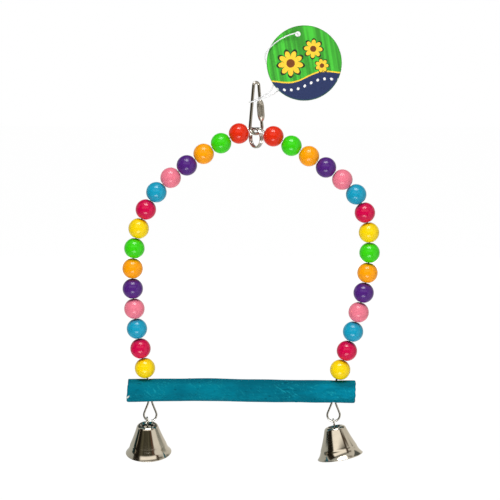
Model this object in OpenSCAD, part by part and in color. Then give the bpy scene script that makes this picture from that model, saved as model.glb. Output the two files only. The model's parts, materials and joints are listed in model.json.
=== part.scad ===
// A bird swing: a beaded wire arch that hangs from a quick link, with a wooden perch and two bells.
// The origin is the hanging point, inside the top bend of the clip. The arch lies in the XZ plane.

/* [Beads] */
// Diameter of a bead
bead_d = 12; // [10:0.5:13]
// Diameter of the hole through a bead
bead_bore_d = 2.8; // [2.6:0.1:3.4]
// How wide the rounded mouth of the hole stands out past the hole
bead_mouth = 0.6; // [0.5:0.1:0.9]
// How far two neighbouring beads nest into each other's mouths
bead_nest = 0.1; // [0:0.02:0.12]

/* [Arch wire] */
// Diameter of the bright wire
wire_d = 1.2; // [0.8:0.1:1.4]
// Radius of the eye at the top, to the middle of the wire
eye_r = 5.5; // [5:0.25:7]
// Clear gap between neighbouring turns of the eye
eye_gap = 0.45; // [0.42:0.02:0.6]
// Gap between the eye and the first bead on the left, measured across the swing
arm_left = 3.9; // [3.5:0.1:5]
// Gap between the eye and the first bead on the right, measured across the swing
arm_right = 4.1; // [3.5:0.1:5]
// How far the first bead on the left hangs below the top of the eye
arm_drop_left = 2.5; // [2:0.1:4]
// How far the first bead on the right hangs below the top of the eye
arm_drop_right = 4.1; // [2:0.1:5]
// Radius of the round part of the loops below the perch, to the middle of the wire
loop_r = 3.7; // [3.2:0.1:4.5]

/* [Clip] */
// Diameter of the clip's wire
clip_wire_d = 1.8; // [1.6:0.1:2.2]
// Radius of the narrow top bend, to the middle of the wire
clip_top_r = 1.8; // [1.6:0.1:2.6]
// Radius of the wide bottom bend, to the middle of the wire
clip_bottom_r = 4.1; // [3.9:0.1:5.4]
// Clear height inside the clip
clip_inner_h = 28; // [27:0.2:32]
// Length of the nut
nut_h = 12.2; // [10:0.2:13]
// Diameter of the nut's barrel
nut_d = 4.1; // [3.6:0.1:4.4]

/* [Perch] */
// Diameter of the wooden perch
perch_d = 13; // [10:0.5:16]
// Length of the perch past its left hole
perch_over_left = 13.6; // [9:0.2:25]
// Length of the perch past its right hole
perch_over_right = 12.8; // [9:0.2:25]
// Diameter of the two cross holes
perch_hole_d = 4; // [3.8:0.1:5]

/* [Bells] */
// Diameter of the bell at its lip
bell_d = 27; // [24:0.5:30]
// Height of the bell from the lip to the crown
bell_h = 18.2; // [17:0.2:22]
// Diameter of the bell's crown
bell_crown_d = 13; // [12:0.5:15]
// Diameter of the hole in the bell's crown
crown_hole_d = 4.4; // [4:0.2:5]
// Thickness of the bell's metal
bell_wall = 0.6; // [0.4:0.1:0.9]
// Diameter of the wire of a bell's hanger
hanger_wire_d = 1; // [0.8:0.1:1.1]
// Diameter of the clapper's ball
clapper_d = 5.2; // [4:0.2:6]

/* [Tag] */
// Diameter of the round card tag
tag_d = 43.6; // [38:0.2:44]
// Thickness of the card
tag_t = 0.5; // [0.4:0.1:0.6]
// Diameter of the punched hole
tag_hole_d = 3; // [2.8:0.1:4]
// Diameter of the clear strand
strand_d = 0.7; // [0.5:0.05:0.8]

/* [Hidden] */
bead_count = 15;
bead_colours = ["#eb2d19", "#37d719", "#ff9b0f", "#55237d", "#f56e8c", "#239bbe", "#dc0055", "#fad70f"];
bead_pattern = [0, 1, 2, 3, 4, 5, 6, 7, 1, 2, 3, 4, 5, 6, 7];
function two_digits(i) = str(i < 10 ? "0" : "", i);
function bead_name(side, i) = str("bead_", side, "_", two_digits(i));
smooth = 48;
wire_sides = 10;
cord_sides = 8;
overrun = 1;

// Clip: it is turned about the vertical, so that it stands across the eye.
clip_turn = 32;
clip_r = clip_wire_d / 2;
clip_top_z = clip_r - clip_top_r;
clip_bottom_z = clip_bottom_r - clip_r - clip_inner_h;
clip_lean = asin((clip_bottom_r - clip_top_r) / (clip_top_z - clip_bottom_z));
leg_h = (clip_top_z - clip_bottom_z) * cos(clip_lean);
clip_sides = 16;
clip_bend_steps = 14;
nut_seat = 3;
nut_fit = 0.05;
nut_end_share = 0.24;
nut_tip_wall = 0.25;
nut_flutes = 14;
flute_d = 0.5;
flute_run_share = 0.2;
gap_shares = [0.18, 0.52];
thread_d = clip_wire_d - nut_fit;
thread_low = nut_seat + nut_h * gap_shares[0];
thread_high = nut_seat + nut_h * gap_shares[1];
thread_end = clip_wire_d;

// Eye: its turns lie side by side along a level axis that the clip's bottom bend follows.
eye_turn = -52;
eye_turns = 2;
eye_steps = 24;
eye_pitch = wire_d + eye_gap;
eye_seat = 0.4;
eye_reach = clip_bottom_r - clip_r - wire_d / 2 - eye_seat;
eye_top_z = clip_bottom_z - sqrt(eye_reach * eye_reach - eye_pitch * eye_pitch * eye_turns * eye_turns / 4);
eye_z = eye_top_z - eye_r;

// Sides of the arch: each turn is a number of bead pitches and the degrees that the wire turns over them.
bead_pitch = bead_d - bead_nest;
left_start_turn = 27;
right_start_turn = 26;
left_start = [arm_left + bead_d / 2, eye_top_z - arm_drop_left, left_start_turn];
right_start = [arm_right + bead_d / 2, eye_top_z - arm_drop_right, right_start_turn];
left_turns = [[4, 12], [2, 26], [2, 17], [2, 11], [4, 11]];
right_turns = [[4, 12], [2, 35], [2, 20], [2, 10], [4, 7]];
plumb_turn = 90;
side_steps = 2 * (bead_count - 1);

// Foot of the arch: through the perch, round a loop and back up into the same hole.
bead_seat = 0.2;
foot_bend_r = 5 * wire_d;
foot_leg = 1.1;
tail_share = 0.4;
loop_flare_angle = 22;
loop_throat_r = 2.5 * wire_d;

function unit(v) = v / norm(v);
function flip(points) = [for (i = [len(points) - 1:-1:0]) points[i]];
function at_side(p, side, y = 0) = [side * p[0], y, p[1]];

// A place on a side is [out, z, degrees below level]; bend_on follows an arc of the given length and turn.
function bend_on(p, length, turn) =
  let(chord = turn == 0 ? length : length * sin(turn / 2) * 360 / (PI * turn))
  [p[0] + chord * cos(p[2] + turn / 2), p[1] - chord * sin(p[2] + turn / 2), p[2] + turn];
function side_at(p, bends, pitches, i = 0) =
  pitches <= bends[i][0] || i == len(bends) - 1
  ? bend_on(p, pitches * bead_pitch, bends[i][1] * pitches / bends[i][0])
  : side_at(bend_on(p, bends[i][0] * bead_pitch, bends[i][1]), bends, pitches - bends[i][0], i + 1);
function bead_at(side, i) =
  side < 0 ? side_at(left_start, left_turns, i - 1) : side_at(right_start, right_turns, i - 1);

// The perch hangs below the lower of the two last beads.
left_end = bead_at(-1, bead_count);
right_end = bead_at(1, bead_count);
perch_top_z = min(left_end[1], right_end[1]) - bead_d / 2 - bead_seat;
perch_z = perch_top_z - perch_d / 2;
perch_bottom_z = perch_top_z - perch_d;

// Where the wire meets the top of the perch, and the level place where it has turned straight down.
function foot_top(end) = [end[0] + (end[1] - perch_top_z) / tan(end[2]), perch_top_z, end[2]];
function foot_turned(end) =
  bend_on(foot_top(end), foot_bend_r * (end[2] - plumb_turn) * PI / 180, plumb_turn - end[2]);
function hole_out(end) = foot_turned(end)[0] - foot_leg;
left_hole_x = -hole_out(left_end);
right_hole_x = hole_out(right_end);

// A drop-shaped loop, as [across, down] from the top of its throat, from one leg round to the other.
function drop_line(r, throat_r, flare, half) =
  (r * cos(flare) - half - throat_r * (1 - cos(flare))) / sin(flare);
function drop_depth(r, throat_r, flare, half) =
  throat_r * sin(flare) + drop_line(r, throat_r, flare, half) * cos(flare) + r * sin(flare);
function drop_half(r, throat_r, flare, half, throat_steps, round_steps) = concat(
  [for (i = [0:throat_steps]) let(a = flare * i / throat_steps)
    [half + throat_r * (1 - cos(a)), throat_r * sin(a)]],
  [for (i = [0:round_steps]) let(a = flare - (90 + flare) * i / round_steps)
    [r * cos(a), drop_depth(r, throat_r, flare, half) - r * sin(a)]]
);
function drop(r, throat_r, flare, half, throat_steps = 3, round_steps = 8) =
  let(side = drop_half(r, throat_r, flare, half, throat_steps, round_steps))
  concat(side, [for (i = [len(side) - 2:-1:0]) [-side[i][0], side[i][1]]]);

loop_h = drop_depth(loop_r, loop_throat_r, loop_flare_angle, foot_leg) + loop_r;
loop_z = perch_bottom_z - loop_h;

function foot_path(end, side) =
  let(turned = foot_turned(end), hole = hole_out(end))
  concat(
    [for (i = [1:4]) at_side(bend_on(foot_top(end), foot_bend_r * (end[2] - plumb_turn) * PI / 180 * i / 4,
      (plumb_turn - end[2]) * i / 4), side)],
    [for (p = drop(loop_r, loop_throat_r, loop_flare_angle, foot_leg))
      [side * (hole + p[0]), 0, perch_bottom_z - p[1]]],
    [[side * (hole - foot_leg), 0, perch_bottom_z + perch_d * tail_share]]
  );
function side_path(side) =
  let(start = side < 0 ? left_start : right_start, bends = side < 0 ? left_turns : right_turns)
  [for (i = [0:side_steps]) at_side(side_at(start, bends, i / 2), side)];

// The eye's turns, and the two short arms that join it to the wire in the first beads.
eye_along = [cos(eye_turn), sin(eye_turn), 0];
eye_axis = [-sin(eye_turn), cos(eye_turn), 0];
eye_path = [for (i = [0:eye_turns * eye_steps]) let(a = i * 360 / eye_steps)
  [0, 0, eye_z + eye_r * cos(a)] + eye_along * eye_r * sin(a)
  + eye_axis * eye_pitch * (a / 360 - eye_turns / 2)];
arm_reach = bead_d * 0.4;
arm_pull = 3 * wire_d;
arm_steps = 7;
function bezier(a, b, c, d, t) =
  a * pow(1 - t, 3) + 3 * b * t * pow(1 - t, 2) + 3 * c * t * t * (1 - t) + d * pow(t, 3);
function arm_path(start, side, eye_end, eye_way) =
  let(
    back = [-side * cos(start[2]), 0, sin(start[2])],
    from = at_side(start, side) + back * arm_reach,
    to = eye_end
  )
  [for (i = [0:arm_steps - 1]) bezier(from, from + back * arm_pull, to + eye_way * arm_pull, to, i / arm_steps)];
wire_path = concat(
  flip(foot_path(left_end, -1)),
  flip(side_path(-1)),
  arm_path(left_start, -1, eye_path[0], -eye_along),
  eye_path,
  flip(arm_path(right_start, 1, eye_path[len(eye_path) - 1], eye_along)),
  side_path(1),
  foot_path(right_end, 1)
);

// The least clear gap between turns of the eye, measured between all its points half a turn or more apart.
eye_self_gap = min([for (i = [0:len(eye_path) - 1]) for (j = [i + eye_steps / 2:1:len(eye_path) - 1])
  norm(eye_path[i] - eye_path[j])]) - wire_d;
echo(least_gap_between_turns_of_the_eye = eye_self_gap);

// Bells: each hangs on its loop, turned as [degrees back, degrees to the right]. The left one's hanger rests
// to the left of the loop's lowest place, where the wire rises.
bell_turn_left = [15, -1.5];
bell_turn_right = [0, -11];
bell_off_left = -1.8;
bell_off_right = 0;
seat_gap = 0.15;
hanger_r = 1.7;
hanger_leg = 0.6;
hanger_flare_angle = 50;
hanger_throat_r = 0.9;
hanger_z = wire_d / 2 + seat_gap + hanger_wire_d / 2 - hanger_r;
hanger_throat_z = hanger_z - drop_depth(hanger_r, hanger_throat_r, hanger_flare_angle, hanger_leg);
function seat_turn(off) = asin(abs(off) / loop_r);
function seat_up(off) = loop_r * (1 - cos(seat_turn(off))) + wire_d / 2 * (1 / cos(seat_turn(off)) - 1)
  + hanger_wire_d / 2 * tan(seat_turn(off));
crown_gap = 1.8;
crown_z = hanger_throat_z - crown_gap;
crown_dish = 1.2;
dish_floor_share = 0.7;
bell_top_z = crown_z + crown_dish;
crown_round = bell_wall * 3.5;
ridge_share = 0.69;
ridge_up = bell_wall * 0.3;
ridge_r_share = 0.79;
lip_h = bell_wall * 1.2;
foot_z = crown_z - bell_wall - hanger_wire_d / 2 - seat_gap;
foot_len = 2.6;
foot_r = hanger_wire_d * 0.8;
hook_r = hanger_wire_d * 1.1;
hook_z = crown_z - bell_h * 0.15;
hook_sweep_angle = 205;
hook_low_z = hook_z - hook_r;
hook_y = hanger_leg - hook_r;
clapper_wire_d = 0.9;
clapper_eye_r = 1.4;
clapper_eye_z = hook_low_z + hanger_wire_d / 2 + seat_gap + clapper_wire_d / 2 - clapper_eye_r;
clapper_z = bell_top_z - bell_h * 0.69;

// The outer line of the bell as [radius, down from the crown's rim]. Inside, the wall has no ridge.
crown_r = bell_crown_d / 2;
lip_r = bell_d / 2;
ridge_r = lip_r * ridge_r_share;
ridge_z = bell_h * ridge_share;
shoulder = [for (i = [0:5]) let(a = 90 - i * 14)
  [crown_r - crown_round + crown_round * cos(a), crown_round - crown_round * sin(a)]];
shoulder_end = shoulder[5];
flank = [for (i = [1:6]) let(t = i / 6)
  [shoulder_end[0] + (ridge_r - shoulder_end[0]) * (0.82 * t + 0.18 * t * t),
    shoulder_end[1] + (ridge_z - shoulder_end[1]) * t]];
ridge = [for (i = [1:3]) let(a = i * 45)
  [ridge_r + ridge_up * sin(a), ridge_z + ridge_up * (1 - cos(a))]];
ridge_end = ridge[2];
flare = [for (i = [1:6]) let(t = i / 6)
  [ridge_end[0] + (lip_r - ridge_end[0]) * (0.45 * t + 0.55 * t * t),
    ridge_end[1] + (bell_h - lip_h - ridge_end[1]) * t]];
bell_line = concat(shoulder, flank, ridge, flare, [[lip_r, bell_h]]);
plain_line = concat(shoulder, flank, flare, [[lip_r, bell_h]]);
function normal_at(line, i) =
  let(d = unit(line[min(i + 1, len(line) - 1)] - line[max(i - 1, 0)])) [d[1], -d[0]];
bell_inside = [for (i = [0:len(plain_line) - 2]) plain_line[i] - bell_wall * normal_at(plain_line, i)];

// Tag and strand: the card hangs in front of the strand's loop, which goes round the clip's left leg.
tag_at = [27.8, -4, 12.2];
tag_hole_at = [-3.8, 16.7];
lock_at = [18, -2.5, 8];
lock_h = 3.4;
lock_d = 2.2;
lock_collar_h = 1;
lock_collar_d = 1.6;
strand_route = [
  [18, -2.5, 6.3], [18, -2.5, 4.6], [17.2, -2.5, 2], [15.4, -2.6, -1.2], [12.6, -2.8, -4], [8.4, -3.2, -6.4],
  [4, -3.3, -8.3], [0.4, -3.3, -9.5], [-2.3, -3.1, -10.2], [-3.5, -2.6, -10.5], [-4, -1.4, -10.6],
  [-3.5, -0.2, -10.4], [-2, 0.1, -10], [0.3, -1.1, -8.9], [3.9, -1.9, -7], [7.6, -2.4, -4.6], [9.8, -2.7, -1],
  [9.3, -3, 4], [7.4, -3.1, 9], [5.7, -3.2, 13], [5.2, -4, 16], [6, -4.8, 18.7], [9, -4.9, 22.1],
  [13, -4.9, 25.3], [17.4, -5.1, 27.7], [21, -5.7, 29], [23, -5.6, 29.3], [24, -4.4, 28.9], [24.3, -3, 28],
  [24.2, -2.4, 26.2], [23, -2.5, 21], [20.6, -2.5, 16], [18.6, -2.5, 12.8], [18, -2.5, 11], [18, -2.5, 9.7]
];
strand_steps = 2;
strand_smooth = 0.5;

// A round tube along a path: rings of points carried from one to the next without twisting.
function way(path, i) = unit(path[min(i + 1, len(path) - 1)] - path[max(i - 1, 0)]);
function level(v, t) = unit(v - t * (v * t));
function rings(path, d, sides) =
  let(
    count = len(path),
    first = abs(way(path, 0) * [0, 1, 0]) < 0.9 ? [0, 1, 0] : [1, 0, 0],
    across = [for (i = 0, n = level(first, way(path, 0)); i < count;
      i = i + 1, n = i < count ? level(n, way(path, i)) : n) n]
  )
  [for (i = [0:count - 1]) let(up = cross(way(path, i), across[i])) for (k = [0:sides - 1])
    path[i] + d / 2 * (across[i] * cos(360 * k / sides) + up * sin(360 * k / sides))];
module tube(path, d, sides) {
  count = len(path);
  walls = [for (i = [0:count - 2]) for (k = [0:sides - 1])
    let(a = i * sides + k, b = i * sides + (k + 1) % sides)
    each [[a, a + sides, b], [b, a + sides, b + sides]]];
  start_cap = [for (k = [1:sides - 2]) [0, k, k + 1]];
  end_cap = [for (k = [1:sides - 2]) [(count - 1) * sides, (count - 1) * sides + k + 1, (count - 1) * sides + k]];
  polyhedron(rings(path, d, sides), concat(walls, start_cap, end_cap), convexity = 10);
}

// A smooth line through the points of a route, with the ends kept straight.
function spline(route, steps, pull) = concat(
  [for (i = [0:len(route) - 2]) for (k = [0:steps - 1])
    let(
      a = route[i],
      b = route[i + 1],
      before = (b - route[max(i - 1, 0)]) * pull / 1.5,
      after = (route[min(i + 2, len(route) - 1)] - a) * pull / 1.5
    )
    bezier(a, a + before / 2, b - after / 2, b, k / steps)],
  [route[len(route) - 1]]
);

module along_leg(side) {
  rotate([0, 0, clip_turn])
    translate([side * clip_bottom_r * cos(clip_lean), 0, clip_bottom_z + clip_bottom_r * sin(clip_lean)])
      rotate([0, -side * clip_lean, 0])
        children();
}

module bend(r, d, from, to) {
  rotate([90, 0, 0])
    rotate([0, 0, from])
      rotate_extrude(angle = to - from, $fn = smooth)
        translate([r, 0])
          circle(d = d, $fn = smooth);
}

module clip_body() {
  low = [clip_bottom_r * cos(clip_lean), clip_bottom_z + clip_bottom_r * sin(clip_lean)];
  up = [-sin(clip_lean), cos(clip_lean)];
  outline = concat(
    [low + up * (thread_low - thread_end)],
    [for (i = [0:clip_bend_steps]) let(a = clip_lean - (180 + 2 * clip_lean) * i / clip_bend_steps)
      [clip_bottom_r * cos(a), clip_bottom_z + clip_bottom_r * sin(a)]],
    [for (i = [0:clip_bend_steps]) let(a = 180 - clip_lean - (180 - 2 * clip_lean) * i / clip_bend_steps)
      [clip_top_r * cos(a), clip_top_z + clip_top_r * sin(a)]],
    [low + up * (thread_high + thread_end)]
  );
  color("#b9b7ae") {
    rotate([0, 0, clip_turn])
      tube([for (p = outline) [p[0], 0, p[1]]], clip_wire_d, clip_sides);
    along_leg(1) {
      translate([0, 0, thread_low - 1.5 * thread_end])
        cylinder(d = thread_d, h = 1.5 * thread_end, $fn = smooth);
      translate([0, 0, thread_high])
        cylinder(d = thread_d, h = 1.5 * thread_end, $fn = smooth);
    }
  }
}

module clip_nut() {
  nut_r = nut_d / 2;
  bore_r = clip_r + nut_fit;
  tip_r = bore_r + nut_tip_wall;
  taper_h = nut_h * nut_end_share;
  flute_z = taper_h * (1 - flute_run_share);
  color("#a9a493")
    along_leg(1)
      translate([0, 0, nut_seat])
        difference() {
          rotate_extrude($fn = smooth)
            polygon([[bore_r, 0], [tip_r, 0], [nut_r, taper_h], [nut_r, nut_h - taper_h], [tip_r, nut_h],
              [bore_r, nut_h]]);
          for (k = [1:nut_flutes])
            rotate([0, 0, k * 360 / nut_flutes])
              translate([nut_r + flute_d / 4, 0, flute_z])
                cylinder(d = flute_d, h = nut_h - 2 * flute_z, $fn = 16);
        }
}

module arch_wire() {
  color("#c9c9c4")
    tube(wire_path, wire_d, wire_sides);
}

module bead(side, i) {
  place = bead_at(side, i);
  mouth_r = bead_bore_d / 2 + bead_mouth;
  mouth_z = sqrt(bead_d * bead_d / 4 - mouth_r * mouth_r);
  color(bead_colours[bead_pattern[(i - 1) % len(bead_pattern)]])
    translate(at_side(place, side))
      rotate([0, side * (90 + place[2]), 0])
        difference() {
          sphere(d = bead_d, $fn = smooth);
          translate([0, 0, -bead_d / 2 - overrun])
            cylinder(d = bead_bore_d, h = bead_d + 2 * overrun, $fn = smooth);
          for (flip_z = [0, 1])
            mirror([0, 0, flip_z])
              translate([0, 0, mouth_z - bead_mouth])
                cylinder(r1 = bead_bore_d / 2, r2 = mouth_r + bead_mouth, h = 2 * bead_mouth, $fn = smooth);
        }
}

module perch() {
  edge = perch_d * 0.05;
  left_x = left_hole_x - perch_over_left;
  perch_l = right_hole_x + perch_over_right - left_x;
  color("#006e87")
    difference() {
      translate([left_x, 0, perch_z])
        rotate([0, 90, 0])
          rotate_extrude($fn = smooth)
            polygon([[0, 0], [perch_d / 2 - edge, 0], [perch_d / 2, edge], [perch_d / 2, perch_l - edge],
              [perch_d / 2 - edge, perch_l], [0, perch_l]]);
      for (x = [left_hole_x, right_hole_x])
        translate([x, 0, perch_bottom_z - overrun])
          cylinder(d = perch_hole_d, h = perch_d + 2 * overrun, $fn = smooth);
    }
}

module at_bell(side) {
  turn = side < 0 ? bell_turn_left : bell_turn_right;
  off = side < 0 ? bell_off_left : bell_off_right;
  translate([(side < 0 ? left_hole_x : right_hole_x) + off, 0, loop_z + seat_up(off)])
    rotate([turn[0], turn[1], 0])
      children();
}

module bell(side) {
  hole_r = crown_hole_d / 2;
  dish_r = crown_r - crown_round;
  color("#b4ae9c")
    at_bell(side)
      translate([0, 0, bell_top_z])
        rotate_extrude($fn = 2 * smooth)
          polygon([for (p = concat(
            [[hole_r, crown_dish + bell_wall], [hole_r, crown_dish], [dish_r * dish_floor_share, crown_dish]],
            bell_line,
            [[lip_r - bell_wall, bell_h]],
            flip(bell_inside),
            [[dish_r * dish_floor_share, crown_dish + bell_wall]]
          )) [p[0], -p[1]]]);
}

module hanger(side) {
  eye = [for (p = drop(hanger_r, hanger_throat_r, hanger_flare_angle, hanger_leg))
    [0, p[0], hanger_throat_z + p[1]]];
  arm = [[0, hanger_leg, hook_z], [0, hanger_leg, (hook_z + foot_z) / 2], [0, hanger_leg, foot_z],
    [0, hanger_leg, crown_z]];
  hook = [for (i = [10:-1:1]) let(a = hook_sweep_angle * i / 10)
    [0, hook_y + hook_r * cos(a), hook_z - hook_r * sin(a)]];
  foot = concat(
    [[0, -hanger_leg, crown_z]],
    [for (i = [0:4]) let(a = 90 * i / 4)
      [0, -hanger_leg - foot_r * (1 - cos(a)), foot_z + foot_r - foot_r * sin(a)]],
    [[0, -hanger_leg - foot_len, foot_z]]
  );
  color("#b4ae9c")
    at_bell(side)
      tube(concat(hook, arm, eye, foot), hanger_wire_d, wire_sides);
}

module clapper(side) {
  turn = side < 0 ? bell_turn_left : bell_turn_right;
  color("#8f8a7c")
    at_bell(side)
      translate([0, hook_y, clapper_eye_z])
        rotate([0, -turn[1], 0]) {
          bend(clapper_eye_r, clapper_wire_d, 0, 360);
          translate([0, 0, clapper_z - clapper_eye_z])
            cylinder(d = clapper_wire_d, h = clapper_eye_z - clapper_eye_r - clapper_z, $fn = smooth);
          translate([0, 0, clapper_z - clapper_eye_z])
            sphere(d = clapper_d, $fn = smooth);
        }
}

module hang_tag() {
  color("#3cb42d")
    translate(tag_at)
      rotate([90, 0, 0])
        difference() {
          translate([0, 0, -tag_t / 2])
            cylinder(d = tag_d, h = tag_t, $fn = 2 * smooth);
          translate([tag_hole_at[0], tag_hole_at[1], -tag_t / 2 - overrun])
            cylinder(d = tag_hole_d, h = tag_t + 2 * overrun, $fn = smooth);
        }
}

module tag_strand() {
  color("#e8e8e6")
    tube(spline(strand_route, strand_steps, strand_smooth), strand_d, cord_sides);
}

module strand_lock() {
  color("#e8e8e6")
    translate(lock_at) {
      translate([0, 0, -lock_h / 2])
        cylinder(d = lock_collar_d, h = lock_h, $fn = smooth);
      translate([0, 0, -lock_h / 2 + lock_collar_h])
        cylinder(d = lock_d, h = lock_h - 2 * lock_collar_h, $fn = smooth);
    }
}

clip_body();
clip_nut();
arch_wire();
perch();
for (i = [1:bead_count]) {
  bead(-1, i);
  bead(1, i);
}
bell(-1);  // bell_left
bell(1);  // bell_right
hanger(-1);  // hanger_left
hanger(1);  // hanger_right
clapper(-1);  // clapper_left
clapper(1);  // clapper_right
hang_tag();
tag_strand();
strand_lock();
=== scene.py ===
"""A hanging bird swing: beaded wire arch on a quick link, dyed wooden perch, two bells and a hang tag."""

import json
import math

import bmesh
import bpy
from bpy.props import FloatProperty, FloatVectorProperty, IntProperty, PointerProperty
from mathutils import Matrix, Vector, noise


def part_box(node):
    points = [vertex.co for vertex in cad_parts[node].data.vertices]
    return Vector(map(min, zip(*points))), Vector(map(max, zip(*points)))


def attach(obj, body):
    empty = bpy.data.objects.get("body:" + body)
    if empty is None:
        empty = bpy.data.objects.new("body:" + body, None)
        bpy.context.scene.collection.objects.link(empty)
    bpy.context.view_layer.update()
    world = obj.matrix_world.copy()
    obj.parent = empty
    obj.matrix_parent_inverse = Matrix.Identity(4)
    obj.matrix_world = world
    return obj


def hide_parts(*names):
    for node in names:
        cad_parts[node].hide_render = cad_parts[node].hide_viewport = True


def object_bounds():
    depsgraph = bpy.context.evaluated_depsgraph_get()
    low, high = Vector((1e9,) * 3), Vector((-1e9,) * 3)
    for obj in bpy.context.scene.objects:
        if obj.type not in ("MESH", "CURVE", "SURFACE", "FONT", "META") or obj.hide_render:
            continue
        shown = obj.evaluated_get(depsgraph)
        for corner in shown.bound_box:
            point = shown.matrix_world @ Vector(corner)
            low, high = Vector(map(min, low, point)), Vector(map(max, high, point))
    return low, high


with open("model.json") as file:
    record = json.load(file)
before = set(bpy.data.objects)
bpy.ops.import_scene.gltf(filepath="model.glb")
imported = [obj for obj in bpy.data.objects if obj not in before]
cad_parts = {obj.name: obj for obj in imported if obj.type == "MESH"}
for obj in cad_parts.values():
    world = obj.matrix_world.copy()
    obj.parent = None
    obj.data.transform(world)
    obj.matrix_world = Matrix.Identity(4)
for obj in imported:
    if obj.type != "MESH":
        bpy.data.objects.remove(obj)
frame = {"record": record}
CAD_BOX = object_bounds()

bl_info = {
    "name": "Bird swing",
    "version": (1, 0, 0),
    "blender": (4, 5, 0),
    "location": "View3D > Sidebar > Bird swing",
    "description": "Dresses the swing's wire, beads, perch, bells, clip and tag",
    "category": "Object",
}

MM = 0.001
SIDES = (("left", -1), ("right", 1))
BEADS = 15
COLOUR_NAMES = ("red", "green", "orange", "purple", "pink", "blue", "crimson", "yellow")
COLOUR_ORDER = (0, 1, 2, 3, 4, 5, 6, 7, 1, 2, 3, 4, 5, 6, 7)


def linear(red, green, blue):
    """A colour given as 0 to 255 in the screen's own scale, as the shader's linear numbers."""
    return tuple(
        (c / 255 / 12.92 if c / 255 <= 0.04045 else ((c / 255 + 0.055) / 1.055) ** 2.4) for c in (red, green, blue)
    )


BEAD_PAINT = {
    "red": linear(222, 42, 10),
    "green": linear(56, 208, 14),
    "orange": linear(250, 159, 0),
    "purple": linear(78, 32, 120),
    "pink": linear(234, 121, 141),
    "blue": linear(18, 153, 186),
    "crimson": linear(204, 0, 70),
    "yellow": linear(246, 211, 0),
}


# ---------------------------------------------------------------- what a user may change


def size(name, text, default, low, high):
    return FloatProperty(
        name=name, description=text, default=default * MM, min=low * MM, max=high * MM, unit="LENGTH", precision=5
    )


def colour(name, text, default):
    return FloatVectorProperty(name=name, description=text, default=default, size=3, min=0, max=1, subtype="COLOR")


class SwingSizes(bpy.types.PropertyGroup):
    wire_d: size("Arch wire", "Diameter of the bright arch wire", 1.2, 0.8, 1.4)
    clip_wire_d: size("Clip wire", "Diameter of the clip's wire", 1.8, 1.6, 2.2)
    hanger_wire_d: size("Hanger wire", "Diameter of the wire that holds a bell", 1.0, 0.8, 1.1)
    strand_d: size("Strand", "Diameter of the clear nylon strand", 0.7, 0.5, 0.8)
    bead_d: size("Bead", "Diameter of a bead", 12, 10, 13)
    bead_bore_d: size("Bead bore", "Diameter of the hole through a bead", 2.8, 2.6, 3.4)
    eye_pitch: size("Eye pitch", "Distance between the turns of the eye", 1.27, 1.2, 1.7)
    bell_wall: size("Bell wall", "Thickness of the bell's metal", 0.6, 0.4, 0.9)
    perch_roughness: size("Perch roughness", "Height of the ridges on the rough perch", 0.22, 0, 0.5)
    nut_ribs: IntProperty(name="Nut ribs", description="Number of ribs on the clip's nut", default=26, min=8, max=48)


class SwingColours(bpy.types.PropertyGroup):
    perch: colour("Perch", "Dye of the wooden perch", linear(0, 122, 142))
    nickel: colour("Nickel", "Tint of the nickel-plated bells", (0.62, 0.57, 0.485))
    steel: colour("Steel", "Tint of the bright wire", (0.66, 0.65, 0.62))
    card: colour("Card", "Ground colour of the printed tag", linear(62, 182, 46))
    band: colour("Band", "Dark colour printed on the tag", linear(27, 44, 92))
    motif: colour("Motif", "Light colour printed on the tag", linear(255, 208, 50))


def sizes():
    return bpy.context.scene.swing_sizes


def colours():
    return bpy.context.scene.swing_colours


# ---------------------------------------------------------------- nodes


def feed(tree, socket, value):
    """Gives an input a value, or links another node's output to it."""
    if isinstance(value, bpy.types.NodeSocket):
        tree.links.new(value, socket)
    else:
        socket.default_value = value


def put(tree, kind, inputs=None, **settings):
    """Adds a node. An input is given as a value or as another node's output."""
    node = tree.nodes.new(kind)
    for key, value in settings.items():
        setattr(node, key, value)
    for key, value in (inputs or {}).items():
        feed(tree, node.inputs[key], value)
    return node


def first(tree, kind, inputs=None, **settings):
    """The first output of a node that it adds."""
    return put(tree, kind, inputs, **settings).outputs[0]


def math_node(tree, operation, a, b=0.0, clamp=False):
    return first(tree, "ShaderNodeMath", {0: a, 1: b}, operation=operation, use_clamp=clamp)


def times(tree, a, b):
    return math_node(tree, "MULTIPLY", a, b)


def plus(tree, a, b):
    return math_node(tree, "ADD", a, b)


def minus(tree, a, b):
    return math_node(tree, "SUBTRACT", a, b)


def spread(tree, value, low, high, to_low=0.0, to_high=1.0, smooth=True):
    """A value carried from one range to another, and held at its ends."""
    ranges = {"Value": value, "From Min": low, "From Max": high, "To Min": to_low, "To Max": to_high}
    return first(tree, "ShaderNodeMapRange", ranges, interpolation_type="SMOOTHSTEP" if smooth else "LINEAR")


def below(tree, value, low, high):
    """A mask that falls from 1 at low to 0 at high."""
    return spread(tree, value, low, high, 1.0, 0.0)


def ranged(tree, share, low, high):
    """A share of 0 to 1 as a number from low to high."""
    return spread(tree, share, 0.0, 1.0, low, high, False)


def blend_colour(tree, share, a, b):
    node = put(tree, "ShaderNodeMix", {"Factor": share}, data_type="RGBA")
    for key, value in ((6, a), (7, b)):
        feed(tree, node.inputs[key], value if isinstance(value, bpy.types.NodeSocket) else (*value, 1))
    return node.outputs[2]


def painted(tree, base, *layers):
    """A colour with layers laid over it in turn, each given as its mask and its colour."""
    for mask, tint in layers:
        base = blend_colour(tree, mask, base, tint)
    return base


def dimmed(tint, share):
    return tuple(c * share for c in tint)


def stretched(tree, vector, factors, turn=(0, 0, 0)):
    return first(tree, "ShaderNodeMapping", {"Vector": vector, "Scale": factors, "Rotation": turn})


def moved(tree, vector, way):
    return first(tree, "ShaderNodeMapping", {"Vector": vector, "Location": tuple(way)})


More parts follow.
